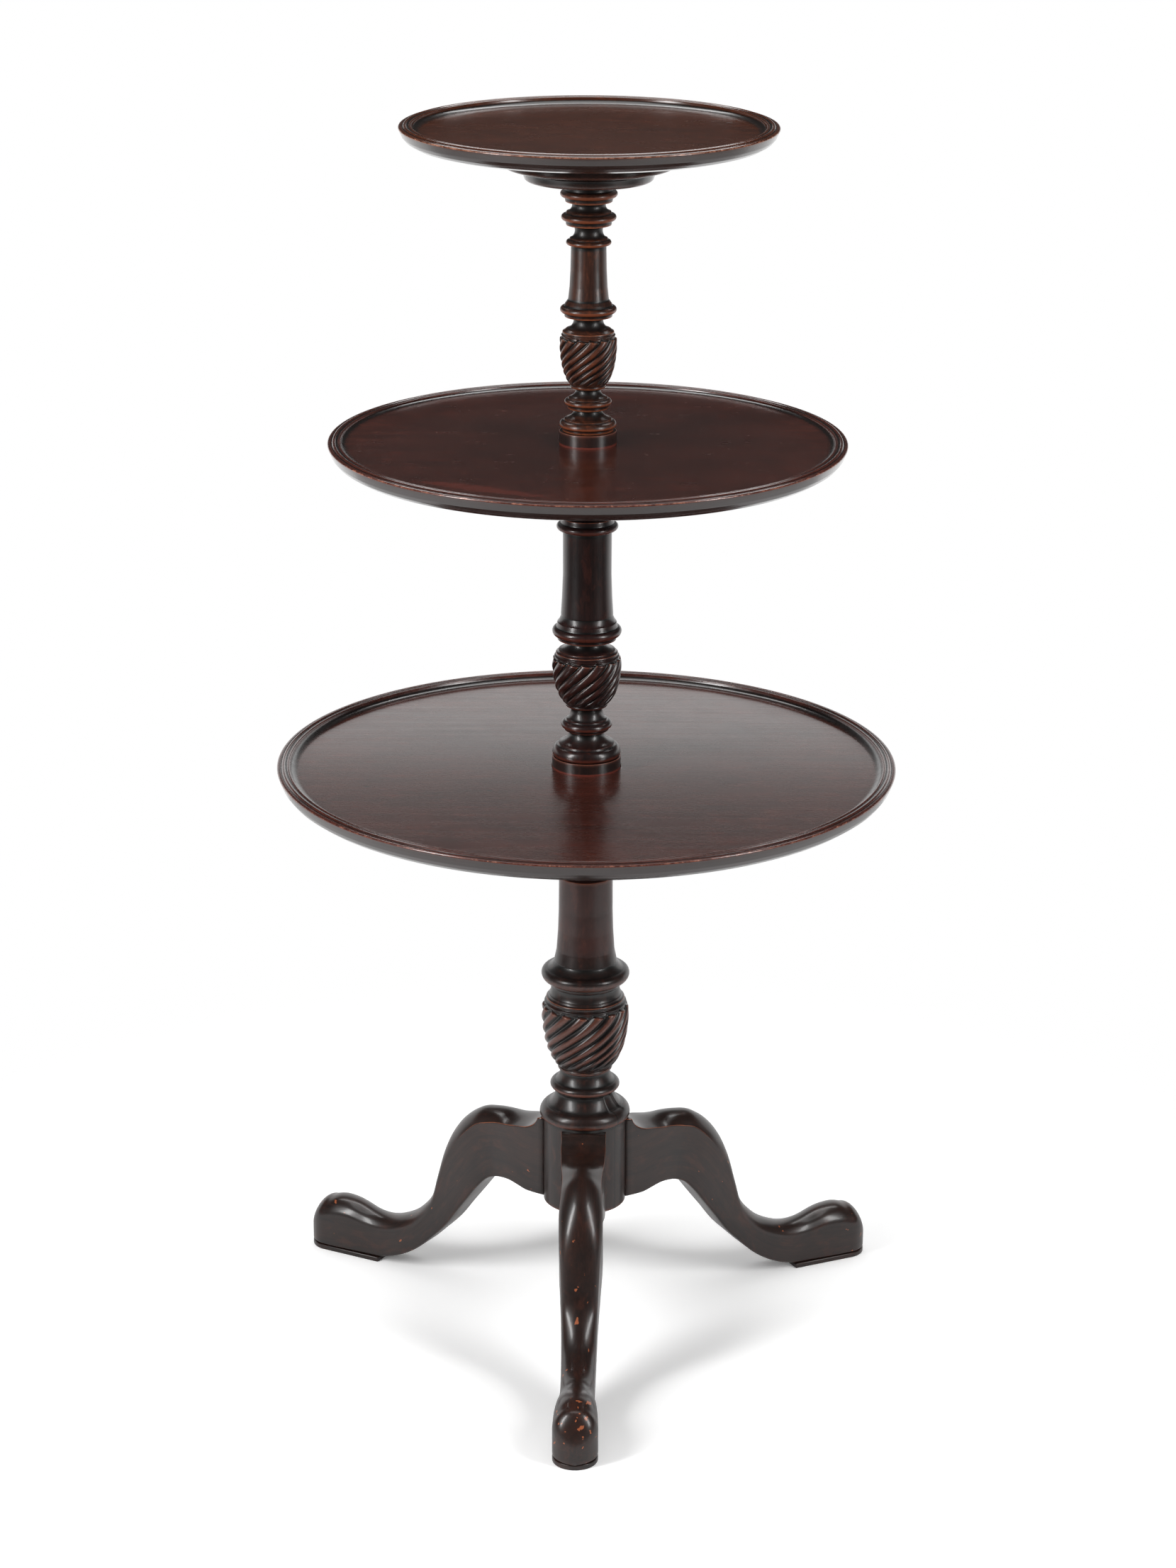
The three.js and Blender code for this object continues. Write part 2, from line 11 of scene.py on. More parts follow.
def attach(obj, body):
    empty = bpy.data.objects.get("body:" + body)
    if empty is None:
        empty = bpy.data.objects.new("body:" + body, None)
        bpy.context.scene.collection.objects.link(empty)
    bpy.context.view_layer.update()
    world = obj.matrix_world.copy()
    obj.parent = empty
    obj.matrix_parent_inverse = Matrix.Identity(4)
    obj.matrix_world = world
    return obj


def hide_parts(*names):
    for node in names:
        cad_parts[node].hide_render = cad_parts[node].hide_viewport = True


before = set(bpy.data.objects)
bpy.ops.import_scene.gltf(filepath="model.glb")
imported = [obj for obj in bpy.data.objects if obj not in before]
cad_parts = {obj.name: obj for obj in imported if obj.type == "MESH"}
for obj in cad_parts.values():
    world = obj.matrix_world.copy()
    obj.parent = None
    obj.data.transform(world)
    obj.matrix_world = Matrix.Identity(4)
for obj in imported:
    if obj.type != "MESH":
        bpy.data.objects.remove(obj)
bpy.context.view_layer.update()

# Lengths are in millimetres, and MM turns them into metres. The column stands on the vertical
# axis at x = 0, y = AXIS.
MM = 0.001
AXIS = 16.25
TURN = 2 * math.pi
UP = Vector((0, 0, 1))
# Legs: the way they point, in degrees, and how knocked about their toes are
LEGS = {"front": (-91.4, 1.0), "right": (28.6, 0.6), "left": (148.6, 0.35)}

# Turned outlines. A row is a height, a radius and, where the stretch up to it is a round
# moulding or a hollow, the radius at the middle of that stretch.
BASE_FOOT = [
    (219.0, 41.0), (232.8, 38.2, 45.0), (233.6, 37.0), (247.0, 29.0, 31.2), (250.4, 30.6),
    (258.4, 30.0, 34.6), (270.8, 25.0, 25.8), (271.4, 26.2), (274.6, 26.4, 27.2),
]
BASE_HEAD = [
    (351.0, 36.2), (361.6, 34.9, 34.1), (362.6, 35.6), (365.4, 36.6), (378.4, 38.6, 43.5),
    (386.5, 31.0, 33.0), (398, 28.6), (419, 27.2), (440, 26.6), (475.2, 26.5), (475.4, 20.5),
    (488, 19.5), (489, 27), (503, 27.5, 34), (506, 27.5), (522, 28.5, 20.5), (525, 28.5),
    (539, 30, 35), (543, 28),
]
MIDDLE_FOOT = [
    (600.0, 30.6), (610.8, 28.4, 33.0), (613.1, 27.2), (625.2, 18.6, 18.2), (625.9, 21.3),
    (628.4, 21.8), (635.4, 20.9, 24.7), (637.3, 19.8), (649.4, 16.6, 15.6), (650.0, 19.3),
    (652.6, 20.0, 20.4),
]
MIDDLE_HEAD = [
    (706.8, 27.4), (717.0, 21.5, 18.6), (717.4, 28.4), (720.8, 28.8), (729.7, 29.6, 33.4),
    (734.6, 28.5), (742, 25.2, 26.0), (760, 24.1), (782, 23.3), (825.2, 23.4), (825.6, 25.4),
    (832.8, 25.6, 29.5), (838, 25), (850, 25.5, 19.5), (852, 25.5), (860.5, 27, 30), (862.7, 27),
]
UPPER_FOOT = [
    (923.0, 24.2), (926.2, 24.6), (932.6, 23.2, 26.9), (934.3, 22.3), (943.6, 14.8, 14.6),
    (944.2, 19.0), (947.8, 19.5), (953.2, 19.1, 22.3), (954.6, 18.4), (963.5, 13.2, 12.4),
    (964.0, 15.7), (966.5, 16.2, 16.6),
]
UPPER_HEAD = [
    (1020.3, 20.8), (1031.2, 16.8, 14.3), (1031.8, 22.4), (1035.2, 22.8), (1041.8, 23.0, 26.6),
    (1044.2, 21.9), (1048, 19.1), (1060, 17.8), (1076, 17.0), (1098.9, 16.5), (1099.3, 18.6),
    (1104.2, 18.4, 21.2), (1106.0, 17.6), (1117.4, 16.0, 13.1), (1118.0, 21.2), (1122.0, 21.7),
    (1128.6, 21.8, 25.8), (1130.7, 20.8), (1139.2, 18.0, 15.9), (1139.8, 22.0), (1143.6, 22.5),
    (1150.4, 23.0, 26.8), (1159.7, 24.5, 22.6),
]

# Carved urns: lowest and highest point, widest radius, ribs, depth of the flutes, share of a
# turn that the ribs wind, how far their tops stand out from the shoulder, a rib's share of the
# width of a rib and a flute, and how rubbed the ribs are
URNS = {
    "base": dict(
        low=274.6, high=348.9, radius=43.5, lobes=16, groove=3.4, turns=0.36, proud=1.9,
        rib=0.64, rubbed=0.36,
    ),
    "middle": dict(
        low=652.6, high=705.0, radius=33.6, lobes=14, groove=2.7, turns=0.31, proud=1.4,
        rib=0.7, rubbed=0.16,
    ),
    "upper": dict(
        low=966.5, high=1018.6, radius=27.2, lobes=14, groove=2.3, turns=0.42, proud=1.1,
        rib=0.66, rubbed=0.2,
    ),
}
WIND_POWER = 1.35
# An urn's plain outline: share of its height, share of its radius
URN_OUTLINE = [
    (0, 0.6), (0.05, 0.69), (0.12, 0.77), (0.28, 0.885), (0.5, 0.965), (0.7, 0.997),
    (0.8, 0.997), (0.86, 0.985), (0.9, 0.962), (0.925, 0.93), (0.934, 0.888), (0.945, 0.882),
    (0.952, 0.895), (0.985, 0.888), (1, 0.84),
]
URN_ROWS = 62
SHOULDER_ROWS = 44
SHOULDER_START = 0.83
SIDES_PER_LOBE = 14

# The carving's places and widths, as shares of an urn's height
RIB_TOP = 0.86
RIB_TOP_SLANT = 0.035
FLUTE_START, FLUTE_END = 0.16, 0.022
STEP_WIDTH = 0.014
BAND_START, BAND_FADE = 0.9, 0.025
QUIRK_PLACE, QUIRK_WIDTH = 0.018, 0.011
LINE_START, LINE_END, LINE_FADE = 0.03, 0.915, 0.015
LIP_PLACE, LIP_WIDTH = 0.008, 0.01
RIDGE_PLACE, RIDGE_WIDTH = 0.985, 0.008
RUB_START, RUB_FADE = 0.04, 0.2
# Its widths as shares of half a rib and flute, its depths, and the share of a flute's depth
# that lies on the rib
LINE_WIDTH, ARRIS_WIDTH = 0.08, 0.07
QUIRK_DEPTH, LINE_DEPTH = 0.5, 0.4
RIB_SHARE = 0.4

# The splinter broken out of the cone over the drum: its place and half its width in degrees,
# its lowest and highest edge, its depth, how ragged its top is, and over what distances it ends
# at its top, its foot and its sides
SPLINTER = dict(
    angle=34, spread=16, low=231, high=250, top=248.5, depth=1.5, ragged=0.9, fades=(1.6, 2, 5),
)

# The chamfer of a section's pin, and the pin on the column's head, which carries the top tier
PIN_CHAMFER = 1.5
HEAD_PIN = [(8.5, 1159.7), (8.5, 1182.2), (7, 1183.7), (0, 1183.7)]

# Trays: outer radius, height of the outer edge, depth of the dish, hub bore, hub ring's rebate,
# and how much fuller the belly is near the edge
TRAYS = {
    "lower": dict(radius=300, edge=592.3, dish=7, bore=14.0, rebate=33.7, full=1.7),
    "middle": dict(radius=246, edge=912, dish=4.7, bore=10.0, rebate=27.5, full=0),
    "top": dict(radius=176.2, edge=1209, dish=7, bore=0, rebate=0, full=-1.9),
}
RIM_WIDTH = 20
RIM_RISE = 2.7

# How finely outlines are cut: the step on the column, how much longer it is on stretches over
# LONG_STRETCH, how close a point lies to each end, and the steps of a round moulding
COLUMN_STEP = 2.2
LONG_STRETCH = 20
LONG_STEP = 2.3
EDGE_REACH = 1.0
MOULDING_STEPS = 12

# Over what distance an edge and a swell stand out, and how much weaker a swell is facing up
EDGE_WINDOW = 1.1
SWELL_WINDOW = 4.0
UPWARD_CUT, UPWARD_SLOPE, UPWARD_START = 0.8, 1.6, 0.45


def eased(value):
    value = min(max(value, 0.0), 1.0)
    return value * value * (3 - 2 * value)


def bell(value, width):
    """1 where a value is zero, falling away over the width on both sides."""
    return math.exp(-(value / width) ** 2)


def moulded(rows, steps=MOULDING_STEPS):
    """Radius and height points of a turned outline, with its mouldings drawn as arcs."""
    points = []
    for row, (height, radius, *middle) in enumerate(rows):
        if middle:
            low, start = rows[row - 1][:2]
            for step in range(1, steps):
                angle = math.pi * step / steps
                along = (1 - math.cos(angle)) / 2
                swell = (middle[0] - (start + radius) / 2) * math.sin(angle)
                points.append((
                    start + (radius - start) * along + swell, low + (height - low) * along,
                ))
        points.append((radius, height))
    return points


def softened(points, reach=0.45, turn=0.35, closed=False):
    """The same outline with its sharp corners rounded over a small reach."""
    count = len(points)
    result = []
    for i, point in enumerate(points):
        if not closed and i in (0, count - 1):
            result.append(Vector(point))
            continue
        here = Vector(point)
        back = Vector(points[i - 1]) - here
        ahead = Vector(points[(i + 1) % count]) - here
        if back.length < 1e-6 or ahead.length < 1e-6 or math.pi - back.angle(ahead) < turn:
            result.append(here)
            continue
        first = here + back.normalized() * min(reach, 0.45 * back.length)
        last = here + ahead.normalized() * min(reach, 0.45 * ahead.length)
        result += [first, (first + last + 2 * here) / 4, last]
    return result


def divided(points, longest):
    """The same outline with its long stretches cut up, the longest of them more coarsely, and a
    point close to each end of a stretch, so that an edge's wear stays on the edge."""
    result = [points[0]]
    for start, end in zip(points, points[1:]):
        length = (end - start).length
        step = longest if length < LONG_STRETCH else LONG_STEP * longest
        pieces = max(1, math.ceil(length / step))
        shares = [k / pieces for k in range(1, pieces)]
        if length > 4 * EDGE_REACH:
            shares += [EDGE_REACH / length, 1 - EDGE_REACH / length]
        result += [start.lerp(end, share) for share in sorted(shares)] + [end]
    return result


def point_along(points, lengths, distance):
    distance = min(max(distance, 0.0), lengths[-1])
    high = min(bisect.bisect_right(lengths, distance, 1), len(lengths) - 1)
    span = lengths[high] - lengths[high - 1]
    share = (distance - lengths[high - 1]) / span if span else 0
    return points[high - 1].lerp(points[high], share)


def bulges(points, window):
    """How far each point of an outline stands proud of its neighbourhood, from -1 to 1."""
    lengths = [0.0]
    for start, end in zip(points, points[1:]):
        lengths.append(lengths[-1] + (end - start).length)
    result = []
    for point, distance in zip(points, lengths):
        before = point_along(points, lengths, distance - window)
        after = point_along(points, lengths, distance + window)
        chord = after - before
        outward = Vector((chord.y, -chord.x))
        proud = (point - before).dot(outward.normalized()) if chord.length > 1e-6 else 0
        result.append(proud / window)
    return result


def wear_layers(bm):
    layers = bm.verts.layers.float
    return layers.new("edge_wear"), layers.new("swell")


def full_turn(bm, verts, lines, centre, sides):
    """Spins an outline right round a vertical axis and joins its ends and its poles."""
    bmesh.ops.spin(
        bm, geom=verts + lines, cent=centre, axis=(0, 0, 1), dvec=(0, 0, 0),
        angle=TURN, steps=sides, use_merge=True, use_duplicate=False,
    )
    bmesh.ops.remove_doubles(bm, verts=bm.verts, dist=1e-6)


def spun(outline, sides, closed=False):
    """A bmesh of an outline of radius and height points spun round the column's axis, with the
    wear of its edges and its swells. A swell counts for less where it faces up, so a moulding's
    top comes out darker than its lower half."""
    bm = bmesh.new()
    edge_layer, swell_layer = wear_layers(bm)
    edges, swells = bulges(outline, EDGE_WINDOW), bulges(outline, SWELL_WINDOW)
    verts = []
    for i, (point, edge, swell) in enumerate(zip(outline, edges, swells)):
        run = outline[min(i + 1, len(outline) - 1)] - outline[max(i - 1, 0)]
        faces_up = -run.x / run.length if run.length > 0 else 0
        vert = bm.verts.new((point.x * MM, AXIS * MM, point.y * MM))
        vert[edge_layer] = edge
        # Swells facing up count for less, which makes a moulding's top darker than its lower half
        kept = 1 - UPWARD_CUT * eased(UPWARD_SLOPE * faces_up + UPWARD_START)
        vert[swell_layer] = swell * kept if swell > 0 else swell
        verts.append(vert)
    lines = [bm.edges.new(pair) for pair in zip(verts, verts[1:])]
    if closed:
        lines.append(bm.edges.new((verts[-1], verts[0])))
    full_turn(bm, verts, lines, (0, AXIS * MM, 0), sides)
    bmesh.ops.recalc_face_normals(bm, faces=bm.faces)
    return bm


def in_scene(name, data):
    made = bpy.data.objects.new(name, data)
    bpy.context.scene.collection.objects.link(made)
    return made


def object_of(name, bm, material):
    mesh = bpy.data.meshes.new(name)
    bm.to_mesh(mesh)
    bm.free()
    mesh.materials.append(material)
    return in_scene(name, mesh)


def piece(name, bm, node, body, material):
    """A finished object from a bmesh, in place of the CAD node."""
    for face in bm.faces:
        face.smooth = True
    made = object_of(name, bm, material)
    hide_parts(node)
    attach(made, body)


def turned_angle(vert):
    return math.atan2(vert.co.y - AXIS * MM, vert.co.x)


def reach_of(vert):
    return Vector((vert.co.x, vert.co.y - AXIS * MM)).length / MM


def moved_round(vert, radius, angle):
    vert.co.x = radius * MM * math.cos(angle)
    vert.co.y = AXIS * MM + radius * MM * math.sin(angle)


def urn_points(low, high, radius, **_):
    """The plain outline that an urn is carved from, with closer points on its shoulder."""
    rises = [SHOULDER_START * step / URN_ROWS for step in range(URN_ROWS)]
    rises += [
        SHOULDER_START + (1 - SHOULDER_START) * step / SHOULDER_ROWS
        for step in range(SHOULDER_ROWS + 1)
    ]
    return [
        Vector((radius * curve_through(URN_OUTLINE, rise), low + (high - low) * rise))
        for rise in rises
    ]


def curve_through(table, place):
    """A smooth value at a place in a table of places and values."""
    index = 1
    while index < len(table) - 1 and table[index][0] < place:
        index += 1
    near = [table[max(0, min(len(table) - 1, index + k))] for k in (-2, -1, 0, 1)]
    (x0, y0), (x1, y1), (x2, y2), (x3, y3) = near
    t = (place - x1) / (x2 - x1)
    slope1 = (y2 - y0) / (x2 - x0) * (x2 - x1)
    slope2 = (y3 - y1) / (x3 - x1) * (x2 - x1)
    t2, t3 = t * t, t * t * t
    from_first = (2 * t3 - 3 * t2 + 1) * y1 + (t3 - 2 * t2 + t) * slope1
    return from_first + (3 * t2 - 2 * t3) * y2 + (t3 - t2) * slope2


def splintered(bm, angle, spread, low, high, top, depth, ragged, fades):
    """Breaks a splinter with a ragged top out of the cone over the drum."""
    for vert in bm.verts:
        height = vert.co.z / MM
        aside = math.degrees(turned_angle(vert)) + angle
        if abs(aside) > spread or not low < height < high:
            continue
        edge = top - 0.16 * aside + ragged * math.sin(0.7 * aside)
        gone = eased((edge - height) / fades[0]) * eased((height - low) / fades[1])
        gone *= eased((spread - abs(aside)) / fades[2])
        moved_round(vert, reach_of(vert) - depth * gone, math.radians(aside - angle))


def rib_cut(side, rib):
    """How deep the carving is at a distance from the middle of a rib, from 0 on its crown to 1
    at the bottom of the flute, with a crisp edge where they meet."""
    if side < rib:
        return RIB_SHARE * (1 - math.cos(math.pi / 2 * side / rib))
    return RIB_SHARE + (1 - RIB_SHARE) * math.sin(math.pi / 2 * (side - rib) / (1 - rib))


def carve(bm, low, high, radius, lobes, groove, turns, proud, rib, rubbed):
    """Cuts spiral ribs and flutes into the urn stretch of a turned section, and winds what is
    above with them."""
    edge_layer = bm.verts.layers.float["edge_wear"]
    swell_layer = bm.verts.layers.float["swell"]
    for vert in bm.verts:
        height, reach = vert.co.z / MM, reach_of(vert)
        if height < low - 0.05 or reach < 1e-3:
            continue
        rise = min((height - low) / (high - low), 1.0)
        angle = turned_angle(vert)
        wind = TURN * turns * (1 - (1 - rise) ** WIND_POWER)
        if rise < 1 and reach > radius / 2:
            across = (angle * lobes / TURN) % 1.0
            side = abs(2 * across - 1)
            past = rise - RIB_TOP + RIB_TOP_SLANT * (across - 0.5)
            cut = rib_cut(side, rib)
            depth = eased(rise / FLUTE_START) * (1 - eased(past / FLUTE_END))
            band = eased(past / STEP_WIDTH) * (1 - eased((rise - BAND_START) / BAND_FADE))
            quirk = bell(past - QUIRK_PLACE, QUIRK_WIDTH)
            line = bell(1 - side, LINE_WIDTH) * eased(past / LINE_START)
            line *= 1 - eased((rise - LINE_END) / LINE_FADE)
            reach -= proud * band + groove * cut * depth
            reach -= QUIRK_DEPTH * quirk + LINE_DEPTH * line
            lip = bell(past + LIP_PLACE, LIP_WIDTH) * (1 - cut)
            arris = bell(side - rib, ARRIS_WIDTH) * depth
            ridge = bell(rise - RIDGE_PLACE, RIDGE_WIDTH)
            crest = eased(2.2 * max(0.0, 1 - side / rib))
            bare = rubbed * crest * eased((rise - RUB_START) / RUB_FADE)
            # Negative values in the flutes, the incised lines and the quirk are painted nearly
            # black: grime and painted shade
            vert[swell_layer] = (bare - 1.1 * eased((cut - RIB_SHARE) / 0.35)) * depth
            vert[edge_layer] = 0.5 * lip + 0.42 * arris - 0.5 * line - 0.6 * quirk + 0.5 * ridge
        moved_round(vert, reach, angle + wind)


def pillar(foot, rows_below, urn, rows_above, head):
    """A turned section: its hidden foot, its mouldings below and above the urn, its head."""
    below = softened([*foot, *moulded(rows_below)])
    shoulder = (urn["high"], urn["radius"] * URN_OUTLINE[-1][1])
    above = softened([*moulded([shoulder, *rows_above]), *head])
    outline = divided(below[:-1], COLUMN_STEP) + urn_points(**urn)[:-1]
    bm = spun(outline + divided(above, COLUMN_STEP), urn["lobes"] * SIDES_PER_LOBE)
    carve(bm, **urn)
    return bm


def socket(radius, top, depth):
    return [(radius, top), (radius, top - depth), (0, top - depth)]


def pin(radius, tip, shoulder):
    return [
        (0, tip), (radius - PIN_CHAMFER, tip), (radius, tip + PIN_CHAMFER), (radius, shoulder),
    ]


# Cabriole leg, in its own plane from the column's axis outwards: the top and the bottom of
# each cross-section, its share of the full width, how far it is crowned, and the power of the
# crown, which is 2 where it meets the cheek in a crisp arris and 1 where it is round
LEG_WIDTH = 44.0
LEG_FOOT_WIDTH = 43.6
LEG_REACH = 332.5
LEG_STATIONS = [
    ((41.3, 216), (41.3, 129.2), 1, 0.03, 2), ((45.2, 208.6), (45.2, 129.2), 1, 0.04, 2),
    ((50.5, 204.4), (50.5, 129.4), 1, 0.05, 2), ((58, 201.5), (58, 130), 0.99, 0.06, 2),
    ((68, 200.6), (68, 133), 0.975, 0.08, 2), ((80, 201.6), (79, 135.6), 0.945, 0.22, 2),
    ((93, 204), (90, 135.4), 0.895, 0.42, 2), ((107, 203.4), (98, 133.5), 0.87, 0.57, 2),
    ((122, 199.6), (107, 129), 0.905, 0.63, 1.9), ((139, 187.5), (118, 117), 0.975, 0.74, 1.7),
    ((152, 171), (130, 101), 0.965, 0.8, 1.4), ((161.5, 150), (144, 82.5), 0.9, 0.8, 1.15),
    ((169.3, 122), (158, 63.5), 0.84, 0.8, 1), ((178.3, 93), (174, 47), 0.8, 0.9, 1),
    ((197, 70), (193, 29), 0.775, 0.95, 1), ((216, 57.5), (214, 15.5), 0.755, 0.9, 1),
    ((236, 50.5), (237, 7), 0.745, 0.85, 1), ((256, 50.5), (256, 5.3), 0.77, 0.85, 1),
    ((280, 57), (280, 5.3), 0.88, 0.88, 1), ((298, 58.3), (298, 5.3), 0.96, 0.95, 1),
    ((310.7, 55), (310.7, 5.3), 0.991, 0.96, 1),
]
LEG_BOTTOM = 5.3
NOSE_HEIGHT = 19.8
NOSE_POWER = 1.5
STATION_STEPS = 5
TOE_STEPS = 14
CHAMFER = 3.0
CHAMFER_STEPS = 4
CHEEK_SHARES = (0, 0.3, 0.6, 0.85, 0.97)
CROWN_STEPS = 10
SCRIBE_RADIUS = 41.3
# Where knocks start along the toe and the shin, how far they fade in, and the shin's share
TOE_START, TOE_FADE = 275, 30
SHIN_START, SHIN_FADE, SHIN_SHARE = 135, 15, 0.3


def leg_stations():
    """Every cross-section of a leg from the drum to the toe: top, bottom, half width, crown and
    the power of the crown."""
    stations = []
    last = len(LEG_STATIONS) - 1
    flat = [(k, *top, *bottom, *rest) for k, (top, bottom, *rest) in enumerate(LEG_STATIONS)]
    columns = [[(row[0], row[c]) for row in flat] for c in range(1, 8)]
    for step in range(last * STATION_STEPS + 1):
        place = step / STATION_STEPS
        tx, tz, bx, bz, width, crown, power = (curve_through(column, place) for column in columns)
        half = LEG_WIDTH / 2 * width
        power = min(max(power, 1), 2)
        stations.append((tx, tz, bx, max(bz, LEG_BOTTOM), half, half * crown, power))
    heel_top, heel_half, heel_crown = stations[-1][1], stations[-1][4], stations[-1][5]
    toe = LEG_FOOT_WIDTH / 2
    for step in range(1, TOE_STEPS + 1):
        angle = math.pi / 2 * step / TOE_STEPS
        reach = LEG_REACH - toe + toe * math.sin(angle)
        top = NOSE_HEIGHT + (heel_top - NOSE_HEIGHT) * math.cos(angle) ** NOSE_POWER
        half = heel_half * math.cos(angle)
        stations.append((reach, top, reach, LEG_BOTTOM, half, heel_crown * math.cos(angle), 1))
    return stations


def leg_ring(tx, tz, bx, bz, half, crown, power):
    """Points of a cross-section from the middle of its bottom round to the same place: side,
    share of the way up, edge wear and swell."""
    depth = math.hypot(tx - bx, tz - bz)
    crown = min(crown, depth / 2)
    cheek = (depth - crown) / depth
    chamfer = min(CHAMFER, half / 2)
    low = min(chamfer / depth, 0.3)
    right = [((half - chamfer) / 2, 0.0, 0.0, 0.0), (half - chamfer, 0.0, 0.2, 0.0)]
    for step in range(1, CHAMFER_STEPS):
        angle = math.pi / 2 * step / CHAMFER_STEPS
        side = half - chamfer + chamfer * math.sin(angle)
        right.append((side, low * (1 - math.cos(angle)), 0.3, 0.1))
    right += [(half, low + (cheek - low) * share, 0.0, 0.0) for share in CHEEK_SHARES]
    crisp = power - 1
    right.append((half, cheek, 0.55 * crisp, 0.0))
    for step in range(1, CROWN_STEPS + 1):
        angle = math.pi / 2 * step / CROWN_STEPS
        height = cheek + (1 - cheek) * math.sin(angle) ** power
        worn = 0.3 * crisp if step == 1 else 0.0
        right.append((half * math.cos(angle), height, worn, 0.1 * math.sin(angle)))
    bottom = (0.0, 0.0, 0.0, 0.0)
    left = [(-side, up, edge, swell) for side, up, edge, swell in reversed(right[:-1])]
    return [bottom, *right, *left, bottom]


def leg_mesh(angle, knocked):
    """A leg wrapped from a grid, its shoulder hollowed to the drum, turned to its place, with
    its toe more or less knocked about."""
    stations = leg_stations()
    rings = [leg_ring(*station) for station in stations]
    around = len(rings[0])
    bm = bmesh.new()
    edge_layer, swell_layer = wear_layers(bm)
    knock_layer = bm.verts.layers.float.new("knocks")
    fibre_layer = bm.verts.layers.float_vector.new("fibre")
    bmesh.ops.create_grid(bm, x_segments=around - 1, y_segments=len(stations) - 1, size=1)
    bm.verts.ensure_lookup_table()
    run = 0.0
    turn = Matrix.Rotation(math.radians(angle), 3, "Z")
    for layer, ((tx, tz, bx, bz, *_), ring) in enumerate(zip(stations, rings)):
        if layer:
            before = stations[layer - 1]
            run += math.hypot(tx + bx - before[0] - before[2], tz + bz - before[1] - before[3]) / 2
        for place, (side, up, edge, swell) in enumerate(ring):
            vert = bm.verts[layer * around + place]
            reach = bx + (tx - bx) * up
            if layer == 0:
                reach = math.sqrt(SCRIBE_RADIUS ** 2 - side ** 2)
            height = bz + (tz - bz) * up
            vert[fibre_layer] = Vector((side, up * math.hypot(tx - bx, tz - bz), run)) * MM
            vert[edge_layer], vert[swell_layer] = edge, swell
            toe = eased((reach - TOE_START) / TOE_FADE) * eased((up - 0.2) / 0.4)
            shin = eased((reach - SHIN_START) / SHIN_FADE) * eased((up - 0.6) / 0.3) * SHIN_SHARE
            vert[knock_layer] = knocked * max(toe, shin)
            vert.co = turn @ Vector((reach, side, height)) * MM + Vector((0, AXIS * MM, 0))
    bmesh.ops.remove_doubles(bm, verts=bm.verts, dist=1e-6)
    bmesh.ops.holes_fill(bm, edges=[edge for edge in bm.edges if edge.is_boundary], sides=0)
    bmesh.ops.recalc_face_normals(bm, faces=bm.faces)
    return bm


# Sole under a foot
SOLE_THICKNESS = 5.0
SOLE_LENGTH = 89.0
SOLE_HEEL_WIDTH = 34.0
SOLE_STEPS = 32
SOLE_EASING = 0.8
SOLE_WORN_FROM = 4


def raised(bm, faces, rise):
    """Pulls faces up and out, with walls round them."""
    grown = bmesh.ops.extrude_face_region(bm, geom=faces)["geom"]
    verts = [part for part in grown if isinstance(part, bmesh.types.BMVert)]
    bmesh.ops.translate(bm, verts=verts, vec=UP * rise * MM)


def sole_mesh(angle):
    """A thin sole, square at the heel and round at the toe, with its rims eased."""
    bm = bmesh.new()
    toe = LEG_FOOT_WIDTH / 2
    centre, heel = LEG_REACH - toe, LEG_REACH - SOLE_LENGTH
    outline = [(heel, -SOLE_HEEL_WIDTH / 2)]
    for step in range(SOLE_STEPS + 1):
        turn = step * math.pi / SOLE_STEPS
        outline.append((centre + toe * math.sin(turn), -toe * math.cos(turn)))
    outline.append((heel, SOLE_HEEL_WIDTH / 2))
    verts = [bm.verts.new((x * MM, y * MM, 0)) for x, y in outline]
    raised(bm, [bm.faces.new(verts)], SOLE_THICKNESS)
    bmesh.ops.recalc_face_normals(bm, faces=bm.faces)
    rims = [edge for edge in bm.edges if edge.calc_face_angle(0) > 1.2]
    bmesh.ops.bevel(
        bm, geom=rims, offset=SOLE_EASING * MM, offset_type="OFFSET", segments=3, profile=0.5,
        affect="EDGES", material=-1,
    )
    fibre_layer = bm.verts.layers.float_vector.new("fibre")
    edge_layer, _ = wear_layers(bm)
    for vert in bm.verts:
        vert[fibre_layer] = Vector((vert.co.y, vert.co.z, vert.co.x))
        vert[edge_layer] = 0.25 if vert.co.z > SOLE_WORN_FROM * MM else 0.0
    turn = Matrix.Rotation(math.radians(angle), 3, "Z")
    bmesh.ops.rotate(bm, verts=bm.verts, cent=(0, 0, 0), matrix=turn)
    bmesh.ops.translate(bm, verts=bm.verts, vec=(0, AXIS * MM, 0))
    return bm


# Moulded rim of every tray, from the outer edge inwards: inset and height over the edge
RIM = [
    (0, 0), (0.45, 0.75), (1.3, 1.2), (3.3, 1.35), (3.8, 0.7), (4.3, 1.3), (5.1, 2.3), (6.1, 2.7),
    (7.1, 2.35), (7.9, 1.55), (9.5, 1.45), (10.1, 1.95), (11.2, 2.2), (12.1, 1.9), (12.6, 1.2),
]
# Its belly: inset and drop under the edge
BELLY = [(0, 0.6), (1.3, 4), (3, 8), (6.2, 12), (12, 15.8), (24, 19.3), (38, 21.2), (50, 22)]
COVE_STEPS = 10
REBATE_DEPTH = 2
TRAY_SIDES = 288
TRAY_STEP = 14
CORNER_REACH = 0.3
# The band along the outer edge that is rubbed bare, and how much less the rest is
BARE_BAND, INNER_WEAR = 2, 0.5


def tray_floor(edge, dish, **_):
    return edge + RIM_RISE - dish


